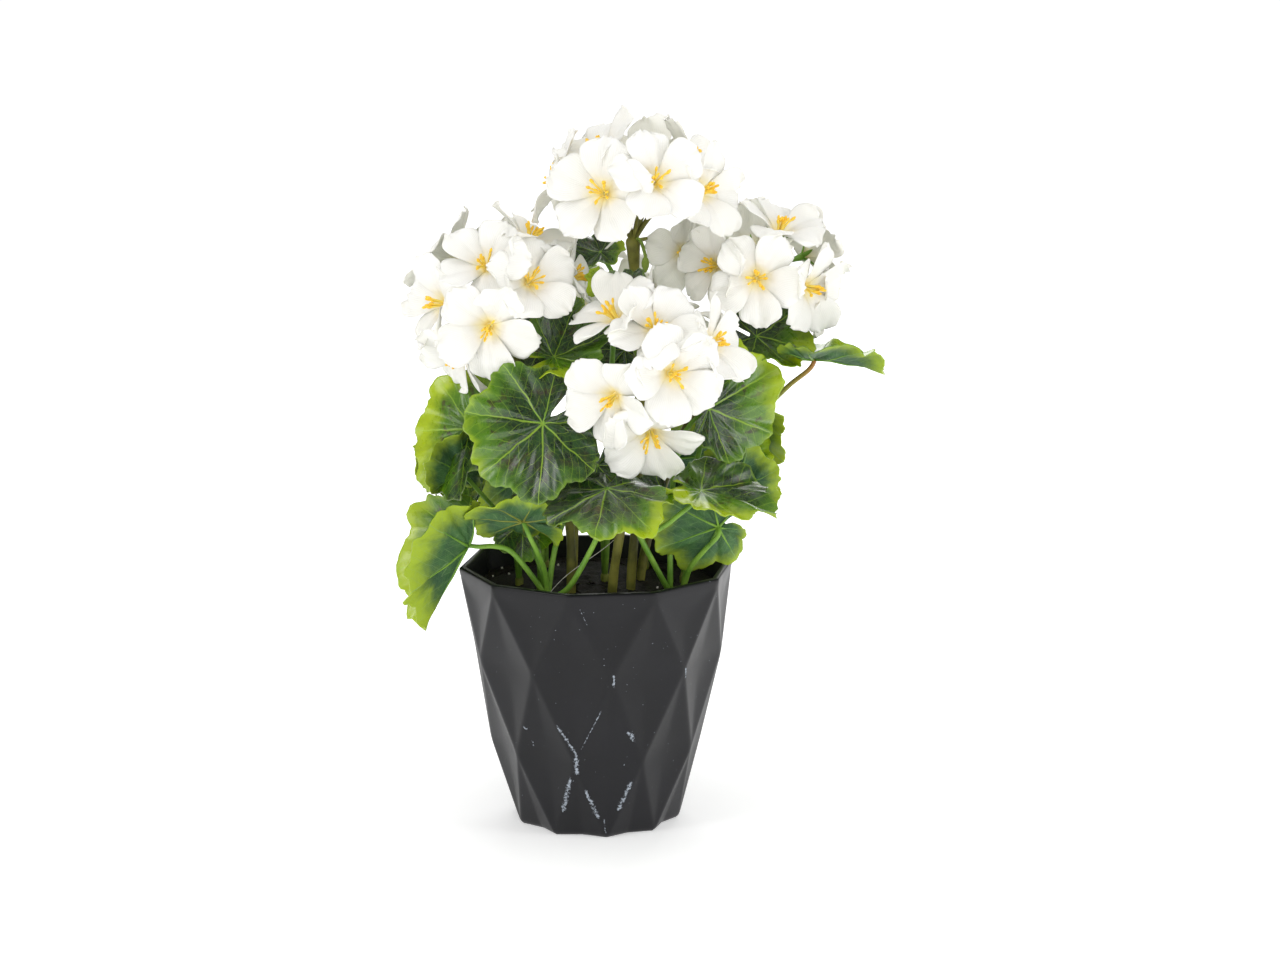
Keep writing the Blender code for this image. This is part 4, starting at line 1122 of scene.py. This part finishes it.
def pot_plastic():
    """Satin black plastic with a fine grain, faint dust and pale scuffs on its creases."""
    paint = Paint("pot_plastic", 0.38, 0.3)
    place = paint.place()
    cloud = paint.noise(place, 28.0, 4.0, 0.6)
    scratch = paint.noise(place, 800.0, 5.0, 0.8)
    marks = 0.0
    for first, last, width in SCUFFS:
        start, end = Vector(first) * MM, Vector(last) * MM
        way = end - start
        offset = paint.vector("SUBTRACT", place, start)
        share = paint.vector("DOT_PRODUCT", offset, way / way.length_squared, output=1)
        share = paint.math("MINIMUM", paint.math("MAXIMUM", share, 0.0), 1.0)
        share = paint.put("CombineXYZ", [share] * 3)
        gap = paint.vector("DISTANCE", offset, paint.vector("MULTIPLY", share, way), output=1)
        near = paint.step(gap, width * MM * 1.5, 0.0)
        worn = paint.step(scratch + near * 0.2, 0.65, 0.72) * paint.step(near, 0.02, 0.25)
        marks = paint.math("MAXIMUM", marks, worn)
    specks = paint.step(paint.noise(place, 900.0, 1.0), 0.78, 0.82, 0.0, 0.5)
    pale = paint.math("MAXIMUM", marks * 0.9, specks)
    colour = paint.layers("131316", (paint.step(cloud, 0.3, 0.7), "19191D"), (pale, "A8B1BC"))
    grain = paint.bump(paint.noise(place, 1400.0, 3.0, 0.6), 0.00012, 0.25)
    rough = paint.step(cloud, 0.3, 0.7, 0.34, 0.42) + marks * 0.3
    return paint.finish(colour, paint.bump(marks, 0.0002, 0.3, grain), Roughness=rough)


SILK = silk("silk", 0.0)
# The petals' backs: the same silk with a share of painted cream shade laid over it
SILK_BACK_PAINTED_SHADE = silk("silk_back_painted_shade", 0.3)
LEAF = leaf_cloth("leaf_top", False)
LEAF_BACK = leaf_cloth("leaf_under", True)
STALK = stalk_plastic()
GOLD = gold_plastic()
SOIL = soil_grain()
SPECK = pale_speck()
POT = pot_plastic()

for number, (name, head) in enumerate(HEADS.items()):
    make_head(number, name, head)
for number, (name, (base, leaves)) in enumerate(SPRAYS.items()):
    make_leaves(number, name, base, leaves)
make_soil()
make_pot()

# Floor: pale, and a little brighter the further it is from the pot
floor_mesh = bpy.data.meshes.new("floor")
floor_mesh.from_pydata([(-4, -4, 0), (4, -4, 0), (4, 4, 0), (-4, 4, 0)], [], [(0, 1, 2, 3)])
floor = add_object("floor", floor_mesh)
ground = Paint("ground", 0.9, 0.1, Base_Color=(0.93, 0.93, 0.93, 1.0), Emission_Color=(1.0, 1.0, 1.0, 1.0))
away = ground.vector("LENGTH", ground.place(), output=1)
ground.fill(Emission_Strength=ground.step(away, 0.12, 1.3, 0.36, 0.8))
floor_mesh.materials.append(ground.material)

# White surroundings: bright to the camera, softer as a light and dimmer still in reflections
LIGHT_LEVEL = 0.52
CAMERA_LEVEL = 1.05
GLOSSY_CHANGE = -0.35
world = bpy.data.worlds.new("studio")
bpy.context.scene.world = world
world.use_nodes = True
sky = Nodes(world.node_tree)
seen_by_camera = sky.put("LightPath", output="Is Camera Ray")
mirrored = sky.put("LightPath", output="Is Glossy Ray")
level = seen_by_camera * (CAMERA_LEVEL - LIGHT_LEVEL) + LIGHT_LEVEL + mirrored * GLOSSY_CHANGE
sky.feed(sky.tree.nodes["Background"], {"Color": "FFFFFF", "Strength": level})

# Lights: place, power in watts, width and height of each, all aimed at the middle of the plant
LIGHTS = {
    "key_left": ((-1.1, -0.85, 0.85), 4.9, 0.4, 0.7),
    "key_right": ((1.2, -0.55, 0.6), 4.2, 0.35, 0.9),
    "top": ((0.0, -0.1, 1.5), 3.8, 0.6, 0.6),
    "front": ((0.1, -1.9, 0.7), 5.6, 0.8, 0.6),
    "behind": ((0.2, 1.3, 0.9), 8.0, 1.0, 0.8),
}
TARGET = Vector((0.0214, 0.0, 0.1697))
for name, (place, power, width, height) in LIGHTS.items():
    data = bpy.data.lights.new(name, "AREA")
    data.shape = "RECTANGLE"
    data.size = width
    data.size_y = height
    data.energy = power
    light = add_object(name, data)
    light.location = place
    light.rotation_euler = (TARGET - Vector(place)).to_track_quat("-Z", "Y").to_euler()
    light.visible_glossy = name != "front"

# Camera at the photo's angle
lens = bpy.data.cameras.new("camera")
lens.lens = 86.26
lens.sensor_width = 36.0
camera = add_object("camera", lens)
camera.location = (0.0214, -1.4687, 0.4744)
camera.rotation_euler = (radians(78.28), 0.0, 0.0)
scene = bpy.context.scene
scene.camera = camera
scene.view_settings.view_transform = "Standard"
scene.view_settings.look = "None"
